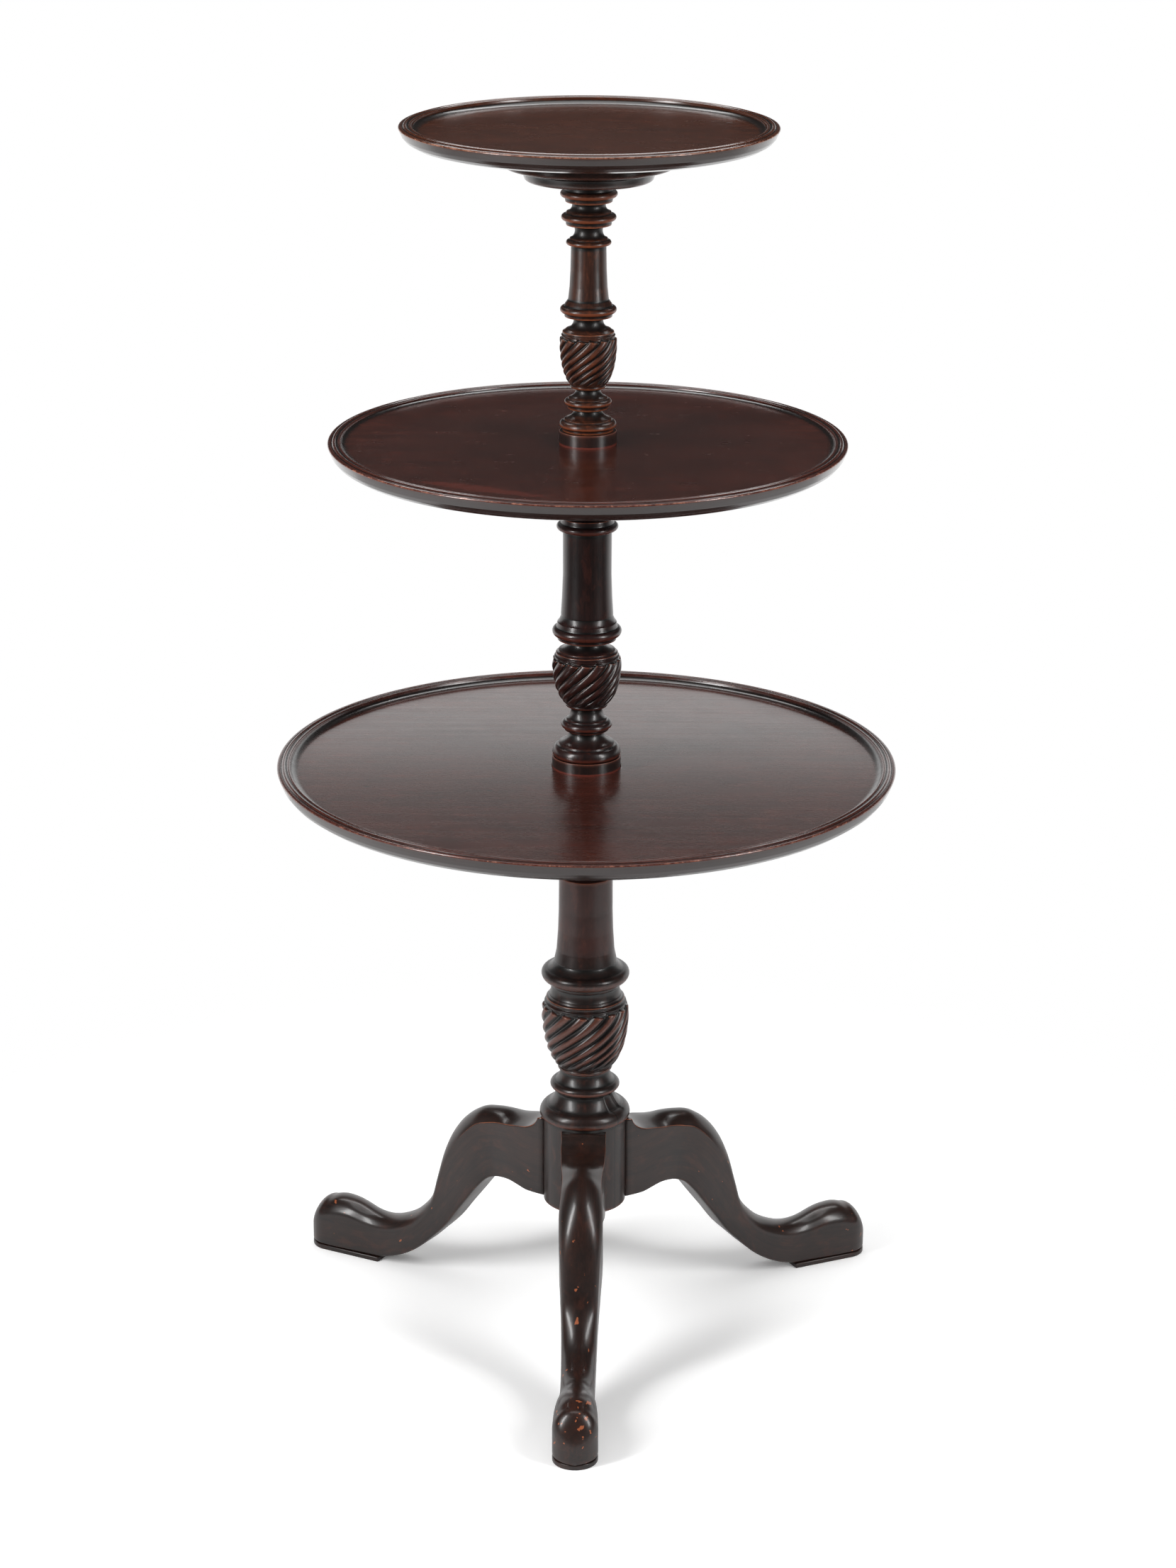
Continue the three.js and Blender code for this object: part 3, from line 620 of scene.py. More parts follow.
def tray_outline(radius, edge, dish, bore, rebate, full):
    """A dished tray from its hub underneath, out round its rim and back in over its floor."""
    floor = tray_floor(edge, dish)
    under = [
        (radius - inset, edge - drop - full * math.sin(math.pi * inset / BELLY[-1][0]) ** 0.5)
        for inset, drop in reversed(BELLY)
    ]
    rim = [(radius - inset, edge + rise) for inset, rise in RIM]
    inset, rise = RIM[-1]
    cove_width, cove_drop = RIM_WIDTH - inset, edge + rise - floor
    for step in range(1, COVE_STEPS + 1):
        angle = math.pi / 2 * step / COVE_STEPS
        rim.append((
            radius - inset - cove_width * (1 - math.cos(angle)),
            edge + rise - cove_drop * math.sin(angle),
        ))
    hub = [(0, floor)]
    if bore:
        hub = [(rebate, floor), (rebate, floor - REBATE_DEPTH), (bore, floor - REBATE_DEPTH)]
    outline = [(bore, edge - BELLY[-1][1]), *under, *rim, *hub]
    return divided(softened(outline, CORNER_REACH), TRAY_STEP)


def tray_mesh(tray):
    """A tray spun from its outline, rubbed bare on the outer edge and less on its beads."""
    bm = spun(tray_outline(**tray), TRAY_SIDES, closed=tray["bore"] > 0)
    layers = [bm.verts.layers.float[name] for name in ("edge_wear", "swell")]
    for vert in bm.verts:
        if reach_of(vert) < tray["radius"] - BARE_BAND:
            for layer in layers:
                vert[layer] = min(vert[layer], INNER_WEAR * vert[layer])
    return bm


# Turned bearer under each tray: radius and drop
BOSS = [
    (77.5, 0), (80, 0.8), (80.2, 5), (80, 12.6), (79.2, 13.8), (77.6, 14.4), (72, 15.2),
    (66.5, 16.8), (63, 17.8), (62.2, 18.2), (61.8, 19.2), (61.2, 22), (60.2, 25.2), (58.5, 26.7),
]
BOSS_DEPTH = BOSS[-1][1]
BOSS_GAP = 0.3
BOSS_STEP = 10
# Hub ring in each tray's floor: radius and rise, and how far all of them are let in
COLLARS = {"lower": (33.3, 11.7), "middle": (27.2, 12.7)}
COLLAR_LET_IN = 1.7
COLLAR_CORNER_REACH = 0.5
COLLAR_STEP = 3
RING_SIDES = 128
PIN_BORES = {"lower": 14.0, "middle": 10.0, "top": 9.0}


def boss_outline(top, bore):
    outside = [(radius, top - drop) for radius, drop in reversed(BOSS)]
    outline = [(bore, top - BOSS_DEPTH), *outside, (bore, top)]
    return divided(softened(outline, CORNER_REACH), BOSS_STEP)


def collar_outline(low, high, radius, bore):
    corners = [(bore, low), (radius, low), (radius, high), (bore, high)]
    return divided(softened(corners, COLLAR_CORNER_REACH, closed=True), COLLAR_STEP)


# Screw, from the middle of its head to its tip: radius and height, and its slot
SCREW = [(0, 0), (4.2, 0), (4.4, 0.25), (2.2, 3), (2, 3.4), (2, 36.5), (0.6, 38), (0, 38)]
SCREWS = 3
SCREW_CIRCLE = 44
SCREW_SIDES = 24
HEAD_LEVEL = 0.05
SLOT_WIDTH = 1.2
SLOT_LENGTH = 7.0
SLOT_DEPTH = 1.0


def screw_mesh():
    """A countersunk slotted screw with its head face down."""
    bm = bmesh.new()
    verts = [bm.verts.new((p.x * MM, 0, p.y * MM)) for p in map(Vector, SCREW)]
    lines = [bm.edges.new(pair) for pair in zip(verts, verts[1:])]
    full_turn(bm, verts, lines, (0, 0, 0), SCREW_SIDES)
    for across, reach in (((0, 1, 0), SLOT_WIDTH / 2), ((1, 0, 0), SLOT_LENGTH / 2)):
        for side in (-1, 1):
            head = [face for face in bm.faces if face.calc_center_median().z < HEAD_LEVEL * MM]
            edges = {edge for face in head for edge in face.edges}
            verts = {vert for face in head for vert in face.verts}
            bmesh.ops.bisect_plane(
                bm, geom=[*head, *edges, *verts], plane_no=across, dist=1e-7,
                plane_co=Vector(across) * reach * side * MM,
            )
    slot = []
    for face in bm.faces:
        x, y, z = face.calc_center_median() / MM
        if z < HEAD_LEVEL and abs(y) < SLOT_WIDTH / 2 and abs(x) < SLOT_LENGTH / 2:
            slot.append(face)
    raised(bm, slot, SLOT_DEPTH)
    bmesh.ops.delete(bm, geom=slot, context="FACES")
    bmesh.ops.recalc_face_normals(bm, faces=bm.faces)
    return bm


# Materials
def linear(red, green, blue):
    """A colour as a display shows it, from 0 to 255, made linear."""
    shares = (part / 255 for part in (red, green, blue))
    return tuple(s / 12.92 if s <= 0.04045 else ((s + 0.055) / 1.055) ** 2.4 for s in shares)


class Nodes:
    """Adds and joins the nodes of one tree."""

    def __init__(self, tree):
        self.tree = tree
        tree.nodes.clear()

    def add(self, kind, settings=(), **inputs):
        """A new node with its settings, and with values or other nodes on its inputs."""
        node = self.tree.nodes.new(kind)
        for key, value in dict(settings).items():
            setattr(node, key, value)
        for key, value in inputs.items():
            self.feed(node, key, value)
        return node

    def feed(self, node, key, value):
        """Sets or joins an input by its name, or by its number after the letter i."""
        numbered = key[0] == "i" and key[1:].isdigit()
        socket = node.inputs[int(key[1:]) if numbered else key.replace("_", " ")]
        if isinstance(value, bpy.types.NodeSocket):
            self.tree.links.new(value, socket)
        elif isinstance(value, bpy.types.Node):
            self.tree.links.new(value.outputs[0], socket)
        else:
            if socket.type == "RGBA" and len(value) == 3:
                value = (*value, 1)
            socket.default_value = value

    def math(self, operation, first, second=0.0):
        node = self.add("ShaderNodeMath", {"operation": operation}, i0=first, i1=second)
        return node.outputs[0]

    def plus(self, first, second):
        return self.math("ADD", first, second)

    def minus(self, first, second):
        return self.math("SUBTRACT", first, second)

    def times(self, first, second):
        return self.math("MULTIPLY", first, second)

    def attribute(self, name, output="Fac"):
        return self.add("ShaderNodeAttribute", {"attribute_name": name}).outputs[output]

    def split(self, vector):
        return self.add("ShaderNodeSeparateXYZ", Vector=vector).outputs

    def length(self, vector):
        node = self.add("ShaderNodeVectorMath", {"operation": "LENGTH"}, i0=vector)
        return node.outputs["Value"]

    def noise(self, vector, scale, detail=3.0, roughness=0.55, distortion=0.0):
        return self.add(
            "ShaderNodeTexNoise", Vector=vector, Scale=scale, Detail=detail, Roughness=roughness,
            Distortion=distortion,
        ).outputs["Fac"]

    def ramp(self, value, low, high, start=0.0, end=1.0):
        return self.add(
            "ShaderNodeMapRange", {"interpolation_type": "SMOOTHSTEP"}, Value=value,
            From_Min=low, From_Max=high, To_Min=start, To_Max=end,
        ).outputs["Result"]

    def mix(self, share, first, second):
        node = self.add("ShaderNodeMix", {"data_type": "RGBA"}, i0=share, i6=first, i7=second)
        return node.outputs[2]

    def scaled(self, vector, scale, place=(0, 0, 0), turn=(0, 0, 0)):
        return self.add(
            "ShaderNodeMapping", Vector=vector, Scale=scale, Location=place, Rotation=turn,
        ).outputs[0]

    def streaks(self, vector, across, along, detail, roughness, distortion=0.0):
        """Noise drawn out along Z: how many of its swings lie in a metre across and along."""
        stretched = self.scaled(vector, (across, across, along))
        return self.noise(stretched, 1.0, detail, roughness, distortion)


def new_material(name):
    material = bpy.data.materials.new(name)
    material.use_nodes = True
    return material, Nodes(material.node_tree)


def mixed_shaders(n, share, first, second):
    return n.add("ShaderNodeMixShader", i0=share, i1=first, i2=second)


def wood_group():
    """Aged, polished mahogany: its colour, roughness and fine relief, for every wooden piece.
    The grain runs along Z of the vector."""
    tree = bpy.data.node_groups.new("aged mahogany", "ShaderNodeTree")
    for kind, way, names in (
        ("Vector", "INPUT", ("Vector",)), ("Float", "INPUT", ("Edge wear", "Swell", "Marks")),
        ("Color", "INPUT", ("Dark", "Wood", "Warm", "Bare")),
        ("Float", "INPUT", ("Rubbing", "Figure", "Chips", "Gloss", "Grain")),
        ("Color", "OUTPUT", ("Color",)), ("Float", "OUTPUT", ("Roughness", "Height")),
    ):
        for name in names:
            tree.interface.new_socket(name, in_out=way, socket_type=f"NodeSocket{kind}")
    n = Nodes(tree)
    (
        vector, edge_wear, swell, marks, dark, wood, warm, bare, rubbing, figured, chipped, gloss,
        grained, *_,
    ) = n.add("NodeGroupInput").outputs
    fibres = n.streaks(vector, 620, 9, 4.0, 0.6)
    figure = n.streaks(vector, 60, 5, 3.0, 0.6, 0.6)
    clouds = n.noise(vector, 22.0, 3.0, 0.6)
    pores = n.streaks(vector, 1500, 55, 2.0, 0.5)
    speckle = n.noise(vector, 420.0, 3.0, 0.7)
    patches = n.noise(vector, 130.0, 4.0, 0.65, 0.4)
    grain = n.plus(n.times(figure, 0.6), n.times(fibres, 0.4))
    grain = n.plus(n.times(n.minus(grain, 0.5), figured), 0.5)
    tone = n.plus(n.times(grain, 0.75), n.times(clouds, 0.35))
    colour = n.mix(n.ramp(tone, 0.3, 0.85), dark, wood)
    colour = n.mix(n.ramp(pores, 0.62, 0.74, 0.0, 0.55), colour, dark)

    # Darker bands, and darker boards where the grain shows
    bands = n.times(n.minus(n.streaks(vector, 150, 3, 3.0, 0.6, 0.3), 0.5), figured)
    colour = n.mix(n.ramp(bands, 0.02, 0.3, 0.0, 0.4), colour, dark)
    board = n.ramp(n.streaks(vector, 26, 1.6, 2.0, 0.5, 0.4), 0.5, 0.75, 0.0, 0.45)
    colour = n.mix(n.times(board, grained), colour, dark)

    # Worn patches all over, then swells, edges and chips
    mottle = n.noise(n.scaled(vector, (95, 95, 40), (3, 5, 7)), 1.0, 5.0, 0.7, 0.5)
    mottle = n.times(n.ramp(mottle, 0.5, 0.68, 0.0, 0.36), rubbing)
    colour = n.mix(mottle, colour, warm)
    ragged = n.plus(n.times(patches, 0.8), n.times(speckle, 0.5))
    ragged = n.minus(ragged, 0.65)
    belly = n.plus(swell, n.times(ragged, 0.45))
    belly = n.times(n.ramp(belly, 0.08, 0.42), rubbing)
    colour = n.mix(belly, colour, warm)
    edge = n.plus(edge_wear, n.times(ragged, 0.4))
    edge = n.times(n.ramp(edge, 0.31, 0.5), rubbing)
    colour = n.mix(edge, colour, bare)
    knocks = n.streaks(vector, 150, 95, 2.0, 0.55, 0.3)
    knocks = n.plus(knocks, n.times(n.minus(speckle, 0.5), 0.1))
    chips = n.ramp(n.plus(knocks, n.times(marks, 0.09)), 0.745, 0.755)
    chips = n.times(chips, chipped)
    colour = n.mix(chips, colour, bare)

    # Grime and painted shade in the hollows: where edges and swells dip below zero the colour goes
    # nearly black
    hollow = n.times(n.plus(swell, edge_wear), -1.0)
    hollow = n.plus(n.minus(hollow, 0.06), n.times(n.minus(patches, 0.5), 0.2))
    grime_and_shade = n.ramp(hollow, 0.0, 0.3, 0.0, 0.94)
    colour = n.mix(grime_and_shade, colour, linear(15, 13, 12))

    smears = n.noise(vector, 35.0, 4.0, 0.7, 0.8)
    rough = n.plus(gloss, n.times(n.minus(smears, 0.45), 0.14))
    streaks = n.plus(n.times(n.minus(fibres, 0.5), 0.3), n.times(bands, 0.35))
    rough = n.plus(rough, n.times(streaks, grained))
    rough = n.plus(rough, n.times(grime_and_shade, 0.06))
    rough = n.plus(rough, n.times(n.math("MAXIMUM", edge, chips), 0.06))

    dents = n.ramp(n.noise(vector, 160.0, 2.0, 0.5), 0.2, 0.34, -1.0, 0.0)
    height = n.plus(n.times(fibres, 0.35), n.times(n.ramp(pores, 0.6, 0.75), -0.5))
    height = n.times(height, grained)
    height = n.plus(height, n.times(dents, 0.12))
    height = n.plus(height, n.times(chips, -0.8))
    n.add("NodeGroupOutput", Color=colour, Roughness=rough, Height=height)
    return tree


WOOD = wood_group()


def streak(n, place, centre, turn, half_length, half_width):
    """Marks the inside of a long thin patch on a level surface, with ragged ends."""
    offset = n.add("ShaderNodeVectorMath", {"operation": "SUBTRACT"}, i0=place, i1=centre)
    local = n.scaled(offset, (1, 1, 1), turn=(0, 0, turn))
    away = n.length(n.scaled(local, (1 / half_length, 1 / half_width, 0)))
    ragged = n.times(n.minus(n.noise(place, 90.0, 4.0, 0.7), 0.5), 1.6)
    return n.ramp(n.plus(away, ragged), 1.0, 0.55)


def mahogany(
    name, along, dark, wood, warm, bare, gloss, coat, rubbing=0.5, figure=1.0, chips=0.1,
    grain=0.25, relief=0.08, marks=None,
):
    """A polished wood whose grain runs along Z, X or the piece's own fibres. Its colours are as
    a display shows them, and its own marks are added last."""
    material, n = new_material(name)
    place = n.add("ShaderNodeTexCoord").outputs["Object"]
    if along == "fibre":
        vector = n.attribute("fibre", "Vector")
    else:
        vector = n.scaled(place, (1, 1, 1), turn=(0, math.pi / 2, 0) if along == "X" else (0, 0, 0))
    group = n.add(
        "ShaderNodeGroup", {"node_tree": WOOD}, Vector=vector, Edge_wear=n.attribute("edge_wear"),
        Swell=n.attribute("swell"), Marks=n.attribute("knocks"), Dark=linear(*dark),
        Wood=linear(*wood), Warm=linear(*warm), Bare=linear(*bare), Rubbing=rubbing,
        Figure=figure, Chips=chips, Gloss=gloss, Grain=grain,
    )
    colour, rough, height = group.outputs
    if marks:
        colour, rough, height = marks(n, place, colour, rough, height)
    bump = n.add("ShaderNodeBump", Strength=relief, Distance=0.0006, Height=height)
    shader = n.add(
        "ShaderNodeBsdfPrincipled", Base_Color=colour, Roughness=rough, Normal=bump,
        Coat_Weight=coat, Coat_Roughness=0.14,
    )
    n.add("ShaderNodeOutputMaterial", Surface=shader)
    return material


# Places and sizes of the marks, in metres and radians. The base section: heights between which
# the redder shaft and the crack in the drum set in, and the crack's place, wander and width
SHAFT_FOOT = (0.388, 0.41)
CRACK_TOP = (0.247, 0.243)
CRACK_ANGLE = math.radians(-48)
CRACK_WANDER = 0.16
CRACK_WIDTH = (0.008, 0.02)
# The painted shade on a tray's outside and underside, in millimetres: the insets from the edge
# where it climbs from under the floor to the edge, and how far under the floor it starts
SHADE_INSETS = (12, 3)
SHADE_UNDER = 2
# The red line round a hub ring's foot
RING_LINE = (0.0014, 0.0007)
RING_LINE_RAGGED = 0.0012
# Nicks in the lower tray, and the rubbed streak in the middle one: place, turn, half length and
# half width
NICKS = (((-0.21, -0.05, 0), 0.3, 0.004, 0.0022), ((-0.092, -0.06, 0), 0.3, 0.004, 0.0022))
RUBBED_STREAK = ((-0.095, -0.16, 0), 0.45, 0.075, 0.011)


def base_marks(n, place, colour, rough, height):
    """A redder shaft, and a fine crack that runs down the right of the drum."""
    split = n.split(place)
    shaft = n.ramp(split["Z"], *SHAFT_FOOT, 0.0, 0.4)
    shaft = n.times(shaft, n.noise(place, 30.0, 3.0, 0.6))
    colour = n.mix(shaft, colour, linear(104, 48, 38))
    angle = n.math("ARCTAN2", n.minus(split["Y"], AXIS * MM), split["X"])
    wander = n.noise(n.scaled(place, (0, 0, 60)), 1.0, 4.0, 0.7)
    aside = n.minus(angle, n.plus(CRACK_ANGLE, n.times(wander, CRACK_WANDER)))
    line = n.ramp(n.math("ABSOLUTE", aside), *CRACK_WIDTH, 1.0, 0.0)
    line = n.times(line, n.ramp(split["Z"], *CRACK_TOP))
    height = n.minus(height, n.times(line, 3.0))
    return n.mix(line, colour, linear(6, 5, 5)), rough, height


def painted_shade_outside(n, place, colour, rough, radius, edge, dish, **_):
    """Paints shade on a tray's outer side and under it, where the polish is also made smoother."""
    split = n.split(place)
    floor = tray_floor(edge, dish)
    forward = n.minus(split["Y"], AXIS * MM)
    away = n.plus(n.times(split["X"], split["X"]), n.times(forward, forward))
    away = n.math("SQRT", away)
    inner, outer = ((radius - inset) * MM for inset in SHADE_INSETS)
    limit = n.ramp(away, inner, outer, (floor - SHADE_UNDER) * MM, edge * MM)
    under = n.ramp(n.minus(split["Z"], limit), 0.0, -0.001, 0.0, 0.85)
    # Painted shade: the outer side and the underside are mixed towards a near-black brown
    colour = n.mix(under, colour, linear(33, 28, 27))
    return colour, n.minus(rough, n.times(under, 0.08))


def top_tray_marks(n, place, colour, rough, height):
    """The painted shade on the outside and a few pale flecks."""
    flecks = n.ramp(n.noise(place, 240.0, 1.0, 0.5), 0.81, 0.83, 0.0, 0.7)
    colour = n.mix(flecks, colour, linear(176, 150, 132))
    return *painted_shade_outside(n, place, colour, rough, **TRAYS["top"]), height


def hub_ring_marks(n, place, colour, rough, height):
    """A rubbed red line round the foot of each hub ring."""
    up = n.split(place)["Z"]
    ragged = n.times(n.noise(place, 300.0, 3.0, 0.6), RING_LINE_RAGGED)
    for tier in ("lower", "middle"):
        floor = tray_floor(**TRAYS[tier]) * MM
        over = n.math("ABSOLUTE", n.minus(n.minus(up, floor), ragged))
        colour = n.mix(n.ramp(over, *RING_LINE, 0.0, 0.6), colour, linear(122, 54, 42))
    return colour, rough, height


def lower_tray_marks(n, place, colour, rough, height):
    """The painted shade on the outside and two small nicks left of the middle."""
    for spot in NICKS:
        nick = streak(n, place, *spot)
        colour = n.mix(nick, colour, linear(24, 18, 17))
        height = n.minus(height, nick)
    return *painted_shade_outside(n, place, colour, rough, **TRAYS["lower"]), height


def middle_tray_marks(n, place, colour, rough, height):
    """The painted shade on the outside and a rubbed red streak on the left of the front of the
    tray.
    """
    rub = streak(n, place, *RUBBED_STREAK)
    colour = n.mix(n.times(rub, 0.6), colour, linear(112, 52, 42))
    return *painted_shade_outside(n, place, colour, rough, **TRAYS["middle"]), height


DARK = (21, 17, 16)
column_wood = mahogany(
    "base column mahogany", "Z", DARK, (46, 29, 25), (98, 55, 42), (140, 80, 54),
    gloss=0.34, coat=0.2, rubbing=0.8, figure=1.3, marks=base_marks,
)
middle_wood = mahogany(
    "middle column mahogany", "Z", (23, 16, 16), (52, 29, 26), (92, 45, 34), (150, 90, 68),
    gloss=0.3, coat=0.25, rubbing=0.75, figure=1.4,
)
upper_wood = mahogany(
    "upper column mahogany", "Z", (28, 19, 16), (82, 47, 34), (132, 70, 43), (165, 98, 64),
    gloss=0.33, coat=0.1, rubbing=0.8, figure=1.6, chips=0.35,
)
leg_wood = mahogany(
    "leg mahogany", "fibre", DARK, (56, 36, 30), (92, 48, 34), (172, 94, 56),
    gloss=0.32, coat=0.3, rubbing=0.6, chips=0.85,
)
hub_wood = mahogany(
    "hub ring mahogany", "Z", (22, 16, 15), (50, 31, 27), (92, 50, 38), (140, 78, 56),
    gloss=0.36, coat=0.12, relief=0.12, marks=hub_ring_marks,
)
TRAY_COLOURS = ((50, 24, 19), (86, 43, 34), (108, 52, 40), (205, 138, 112))
TOP_TRAY_COLOURS = ((54, 26, 14), (90, 46, 28), (112, 60, 40), (210, 150, 122))
tray_wood = {
    "lower": mahogany(
        "lower tray mahogany", "X", *TRAY_COLOURS, gloss=0.25, coat=0.55, rubbing=0.9,
        figure=0.9, chips=0.15, grain=0.6, relief=0.04, marks=lower_tray_marks,
    ),
    "middle": mahogany(
        "middle tray mahogany", "X", *TRAY_COLOURS, gloss=0.23, coat=0.6, rubbing=0.9,
        figure=0.8, chips=0.2, grain=0.3, relief=0.02, marks=middle_tray_marks,
    ),
    "top": mahogany(
        "top tray mahogany", "X", *TOP_TRAY_COLOURS, gloss=0.24, coat=0.45, rubbing=0.9,
        figure=0.8, grain=0.3, relief=0.02, marks=top_tray_marks,
    ),
}
boss_wood = mahogany(
    "bearer mahogany", "X", DARK, (48, 31, 26), (84, 48, 36), (130, 76, 52),
    gloss=0.17, coat=0.5, chips=0.15, grain=0.1, relief=0.05,
)


def aged_steel():
    material, n = new_material("aged steel")
    place = n.add("ShaderNodeTexCoord").outputs["Object"]
    rust = n.ramp(n.noise(place, 900.0, 4.0, 0.7), 0.45, 0.65)
    colour = n.mix(rust, linear(112, 104, 96), linear(62, 46, 36))
    rough = n.plus(n.times(rust, 0.3), 0.38)
    metal = n.minus(1.0, n.times(rust, 0.6))
    bump = n.add("ShaderNodeBump", Strength=0.3, Distance=0.0002, Height=n.noise(place, 1600.0))
    shader = n.add(
        "ShaderNodeBsdfPrincipled", Base_Color=colour, Roughness=rough, Metallic=metal,
        Normal=bump,
    )
    n.add("ShaderNodeOutputMaterial", Surface=shader)
    return material


screw_steel = aged_steel()


# The column
DRUM_FOOT = [(0, 127.5), (39.5, 127.5), (41, 129)]
base = pillar(
    DRUM_FOOT, BASE_FOOT, URNS["base"], BASE_HEAD, socket(radius=13.9, top=543, depth=44.3),
)
splintered(base, **SPLINTER)
piece("base_column", base, "base_pillar", "column", column_wood)
piece(
    "middle_column",
    pillar(
        pin(radius=13.5, tip=499, shoulder=600), MIDDLE_FOOT, URNS["middle"], MIDDLE_HEAD,
        socket(radius=9.9, top=862.7, depth=34.3),
    ),
    "middle_pillar", "column", middle_wood,
)
piece(
    "upper_column",
    pillar(
        pin(radius=9.5, tip=828.7, shoulder=923), UPPER_FOOT, URNS["upper"], UPPER_HEAD, HEAD_PIN,
    ),
    "upper_pillar", "column", upper_wood,
)

# The tripod
for side, (angle, knocked) in LEGS.items():
    leg, sole = leg_mesh(angle, knocked), sole_mesh(angle)
    piece(f"cabriole_leg_{side}", leg, f"leg_{side}", "column", leg_wood)
    piece(f"sole_{side}", sole, f"foot_sole_{side}", "column", leg_wood)

# The tiers
for tier, tray in TRAYS.items():
    body, wood = f"{tier}_tier", tray_wood[tier]
    piece(f"{tier}_dished_tray", tray_mesh(tray), f"{tier}_tray", body, wood)
    bearer_top = tray["edge"] - BELLY[-1][1] - BOSS_GAP
    bore = PIN_BORES[tier]
    bearer = spun(boss_outline(bearer_top, bore), RING_SIDES, closed=True)
    piece(f"{tier}_bearer", bearer, f"{tier}_boss", body, boss_wood)
    if tier in COLLARS:
        radius, rise = COLLARS[tier]
        floor = tray_floor(**tray)
        ring = collar_outline(floor - COLLAR_LET_IN, floor + rise, radius, bore)
        ring = spun(ring, RING_SIDES, closed=True)
        piece(f"{tier}_hub_ring", ring, f"{tier}_collar", body, hub_wood)
    for count in range(SCREWS):
        bm = screw_mesh()
        place = Matrix.Translation((0, AXIS * MM, (bearer_top - BOSS_DEPTH) * MM))
        place = place @ Matrix.Rotation(count * TURN / SCREWS, 4, "Z")
        place = place @ Matrix.Translation((SCREW_CIRCLE * MM, 0, 0))
        bmesh.ops.transform(bm, matrix=place, verts=bm.verts)
        piece(
            f"{tier}_bearer_screw_{count + 1}", bm, f"{tier}_boss_screw_{count + 1}", body,
            screw_steel,
        )


# Camera, as fitted to the photograph
CAMERA_ASIDE = 1.68
CAMERA_HEIGHT = 1780.84
CAMERA_BACK = 3563.33
CAMERA_PITCH = math.radians(18.78)
CAMERA_ROLL = math.radians(0.27)
SENSOR_HEIGHT = 36
LENS = 88.68
camera_data = bpy.data.cameras.new("camera")
camera_data.sensor_fit = "VERTICAL"
camera_data.sensor_height = SENSOR_HEIGHT
camera_data.lens = LENS
camera = in_scene("camera", camera_data)
camera.matrix_world = (
    Matrix.Translation(Vector((CAMERA_ASIDE, AXIS - CAMERA_BACK, CAMERA_HEIGHT)) * MM)
    @ Matrix.Rotation(math.pi / 2 - CAMERA_PITCH, 4, "X")
    @ Matrix.Rotation(CAMERA_ROLL, 4, "Z")
)
bpy.context.scene.camera = camera


# Floor, light and background, in metres. The floor fades out between two distances from the
# table, nearer for the camera than for light and reflections.
FLOOR_RADIUS = 2.5
FLOOR_SEEN = (0.12, 0.95)
FLOOR_UNSEEN = (1.1, 2.4)
PAPER_FRONT, FRONT_FADE = -0.9, 0.25
# White cards: half width, lowest and highest edge, distance behind the table and strength
CARDS = (("white_card", 2.6, 0, 0.98, 1.2, 1.1), ("rear_strip", 1.6, 2.6, 3.4, 1.5, 8.0))
# Lamps: place, the point they face, width, height and power
SOFTBOXES = (
    ("left softbox", (-1.85, -1.2, 1.65), (0, 0, 0.85), 0.45, 1.7, 43),
    ("right softbox", (1.85, -1.2, 1.65), (0, 0, 0.85), 0.45, 1.7, 30),
    ("overhead softbox", (0, 0.3, 3.2), (0, 0, 0), 2.0, 2.0, 34),
)
# The room: its light, and what polish shows of it low behind the table and elsewhere
ROOM_LIGHT = 0.3
POLISH_BEHIND, POLISH_ELSEWHERE = 0.85, 0.035


def pale_floor():
    """Pale paper that fades out far from the object. Polished wood sees it only as far forward
    as its front edge."""
    material, n = new_material("pale floor")
    place = n.add("ShaderNodeTexCoord").outputs["Object"]
    away = n.length(place)
    path = n.add("ShaderNodeLightPath").outputs
    camera_ray = path["Is Camera Ray"]
    beyond = n.ramp(n.split(place)["Y"], PAPER_FRONT, PAPER_FRONT - FRONT_FADE)
    beyond = n.times(beyond, path["Is Glossy Ray"])
    white = n.mix(camera_ray, (0.9, 0.9, 0.9), (1.42, 1.42, 1.42))
    matt = n.add("ShaderNodeBsdfDiffuse", Color=n.mix(beyond, white, (0.06, 0.06, 0.06)))
    clear = n.add("ShaderNodeBsdfTransparent")
    seen = n.times(n.ramp(away, *FLOOR_SEEN), camera_ray)
    unseen = n.times(n.ramp(away, *FLOOR_UNSEEN), n.minus(1.0, camera_ray))
    fade = n.plus(seen, n.times(unseen, n.minus(1.0, beyond)))
    n.add("ShaderNodeOutputMaterial", Surface=mixed_shaders(n, fade, matt, clear))
    return material


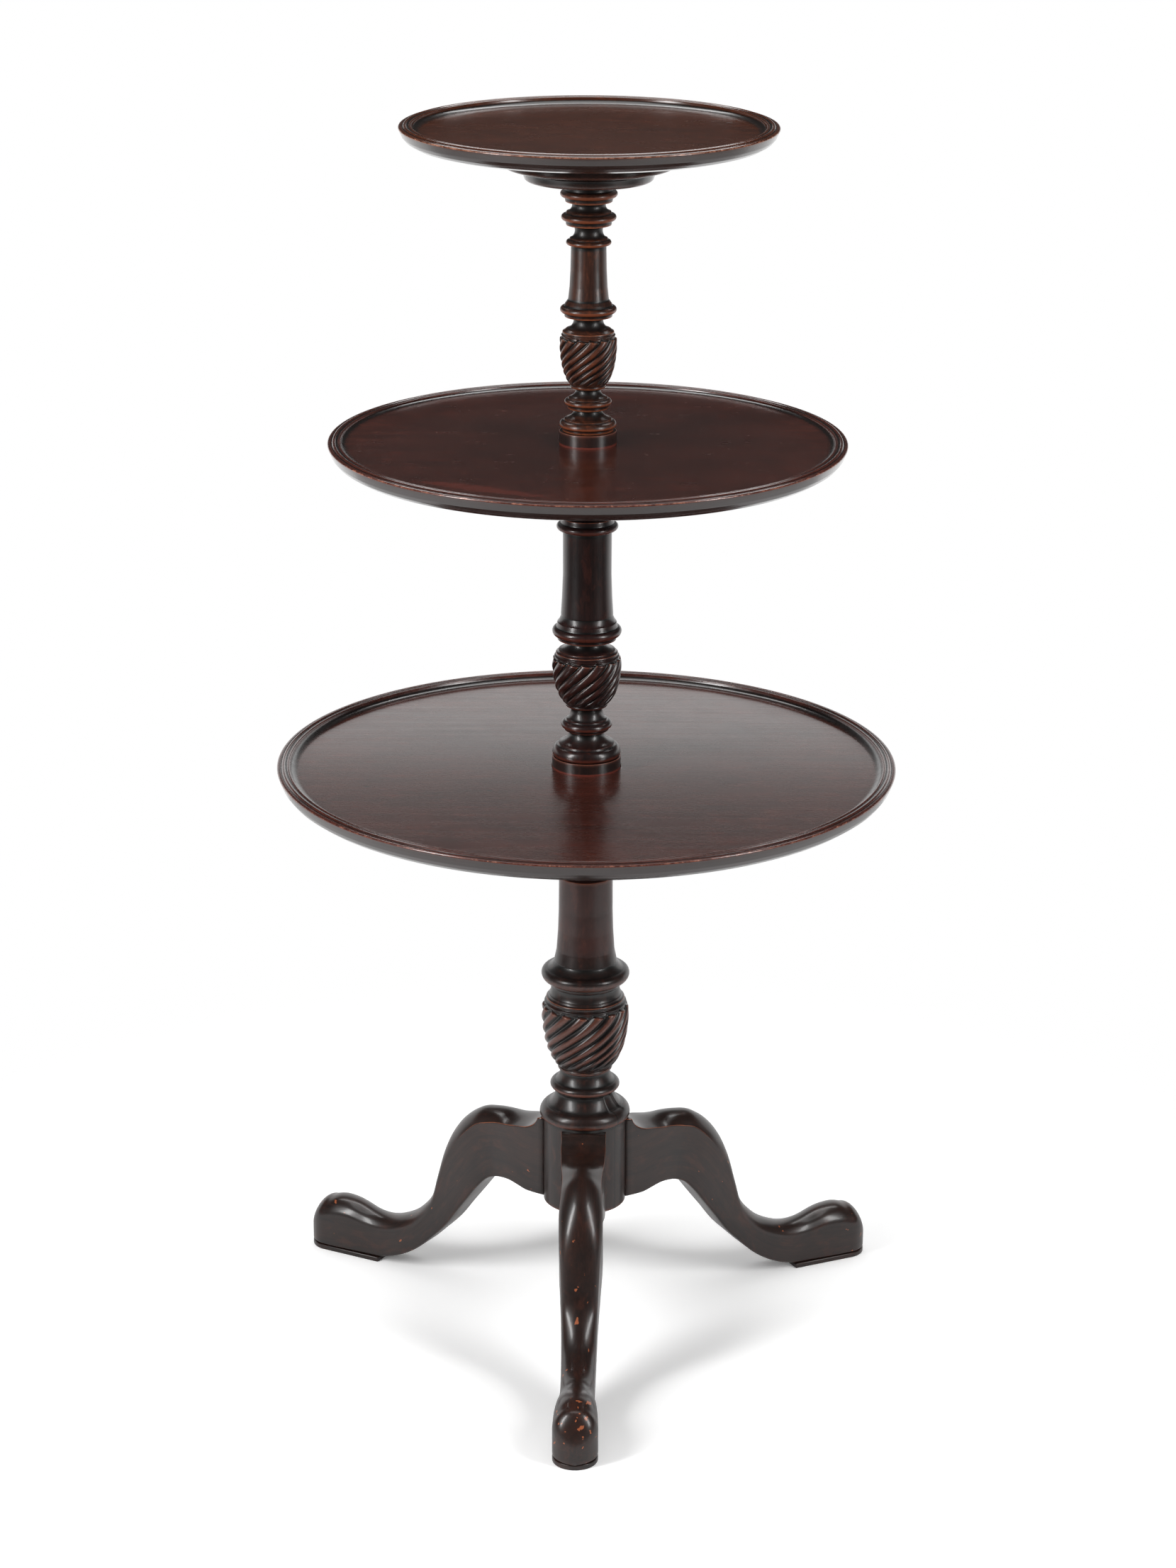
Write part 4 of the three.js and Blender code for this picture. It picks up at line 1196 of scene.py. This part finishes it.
def reflected_white(name, strength):
    """White that only reflections in the polish show."""
    material, n = new_material(name)
    path = n.add("ShaderNodeLightPath").outputs
    glow = n.add("ShaderNodeEmission", Color=(1, 1, 1, 1), Strength=strength)
    clear = n.add("ShaderNodeBsdfTransparent")
    shader = mixed_shaders(n, path["Is Glossy Ray"], clear, glow)
    n.add("ShaderNodeOutputMaterial", Surface=shader)
    return material


bm = bmesh.new()
bmesh.ops.create_circle(bm, cap_ends=True, segments=96, radius=FLOOR_RADIUS)
object_of("floor", bm, pale_floor())
upright = Matrix.Rotation(math.pi / 2, 3, "X")
for name, reach, low, high, back, strength in CARDS:
    bm = bmesh.new()
    bmesh.ops.create_grid(bm, x_segments=1, y_segments=1, size=1)
    bmesh.ops.scale(bm, verts=bm.verts, vec=(reach, (high - low) / 2, 1))
    bmesh.ops.rotate(bm, verts=bm.verts, cent=(0, 0, 0), matrix=upright)
    bmesh.ops.translate(bm, verts=bm.verts, vec=(0, back, (low + high) / 2))
    object_of(name, bm, reflected_white(name.replace("_", " "), strength))

for name, place, target, width, height, power in SOFTBOXES:
    data = bpy.data.lights.new(name, "AREA")
    data.shape = "RECTANGLE"
    data.size, data.size_y = width, height
    data.energy = power
    lamp = in_scene(name, data)
    lamp.location = place
    lamp.rotation_euler = (Vector(target) - Vector(place)).to_track_quat("-Z", "Y").to_euler()

world = bpy.data.worlds.new("studio")
world.use_nodes = True
bpy.context.scene.world = world
n = Nodes(world.node_tree)
path = n.add("ShaderNodeLightPath").outputs
split = n.split(n.add("ShaderNodeTexCoord").outputs["Generated"])
low_behind = n.times(n.ramp(split["Y"], -0.1, 0.5), n.ramp(split["Z"], 0.09, 0.0))
in_polish = n.plus(n.times(low_behind, POLISH_BEHIND), POLISH_ELSEWHERE)
extra = n.times(path["Is Glossy Ray"], n.minus(in_polish, ROOM_LIGHT))
plain = n.add("ShaderNodeBackground", Color=(1, 1, 1, 1), Strength=n.plus(extra, ROOM_LIGHT))
white = n.add("ShaderNodeBackground", Color=(1, 1, 1, 1), Strength=1.0)
n.add("ShaderNodeOutputWorld", Surface=mixed_shaders(n, path["Is Camera Ray"], plain, white))

bpy.context.scene.view_settings.view_transform = "Standard"
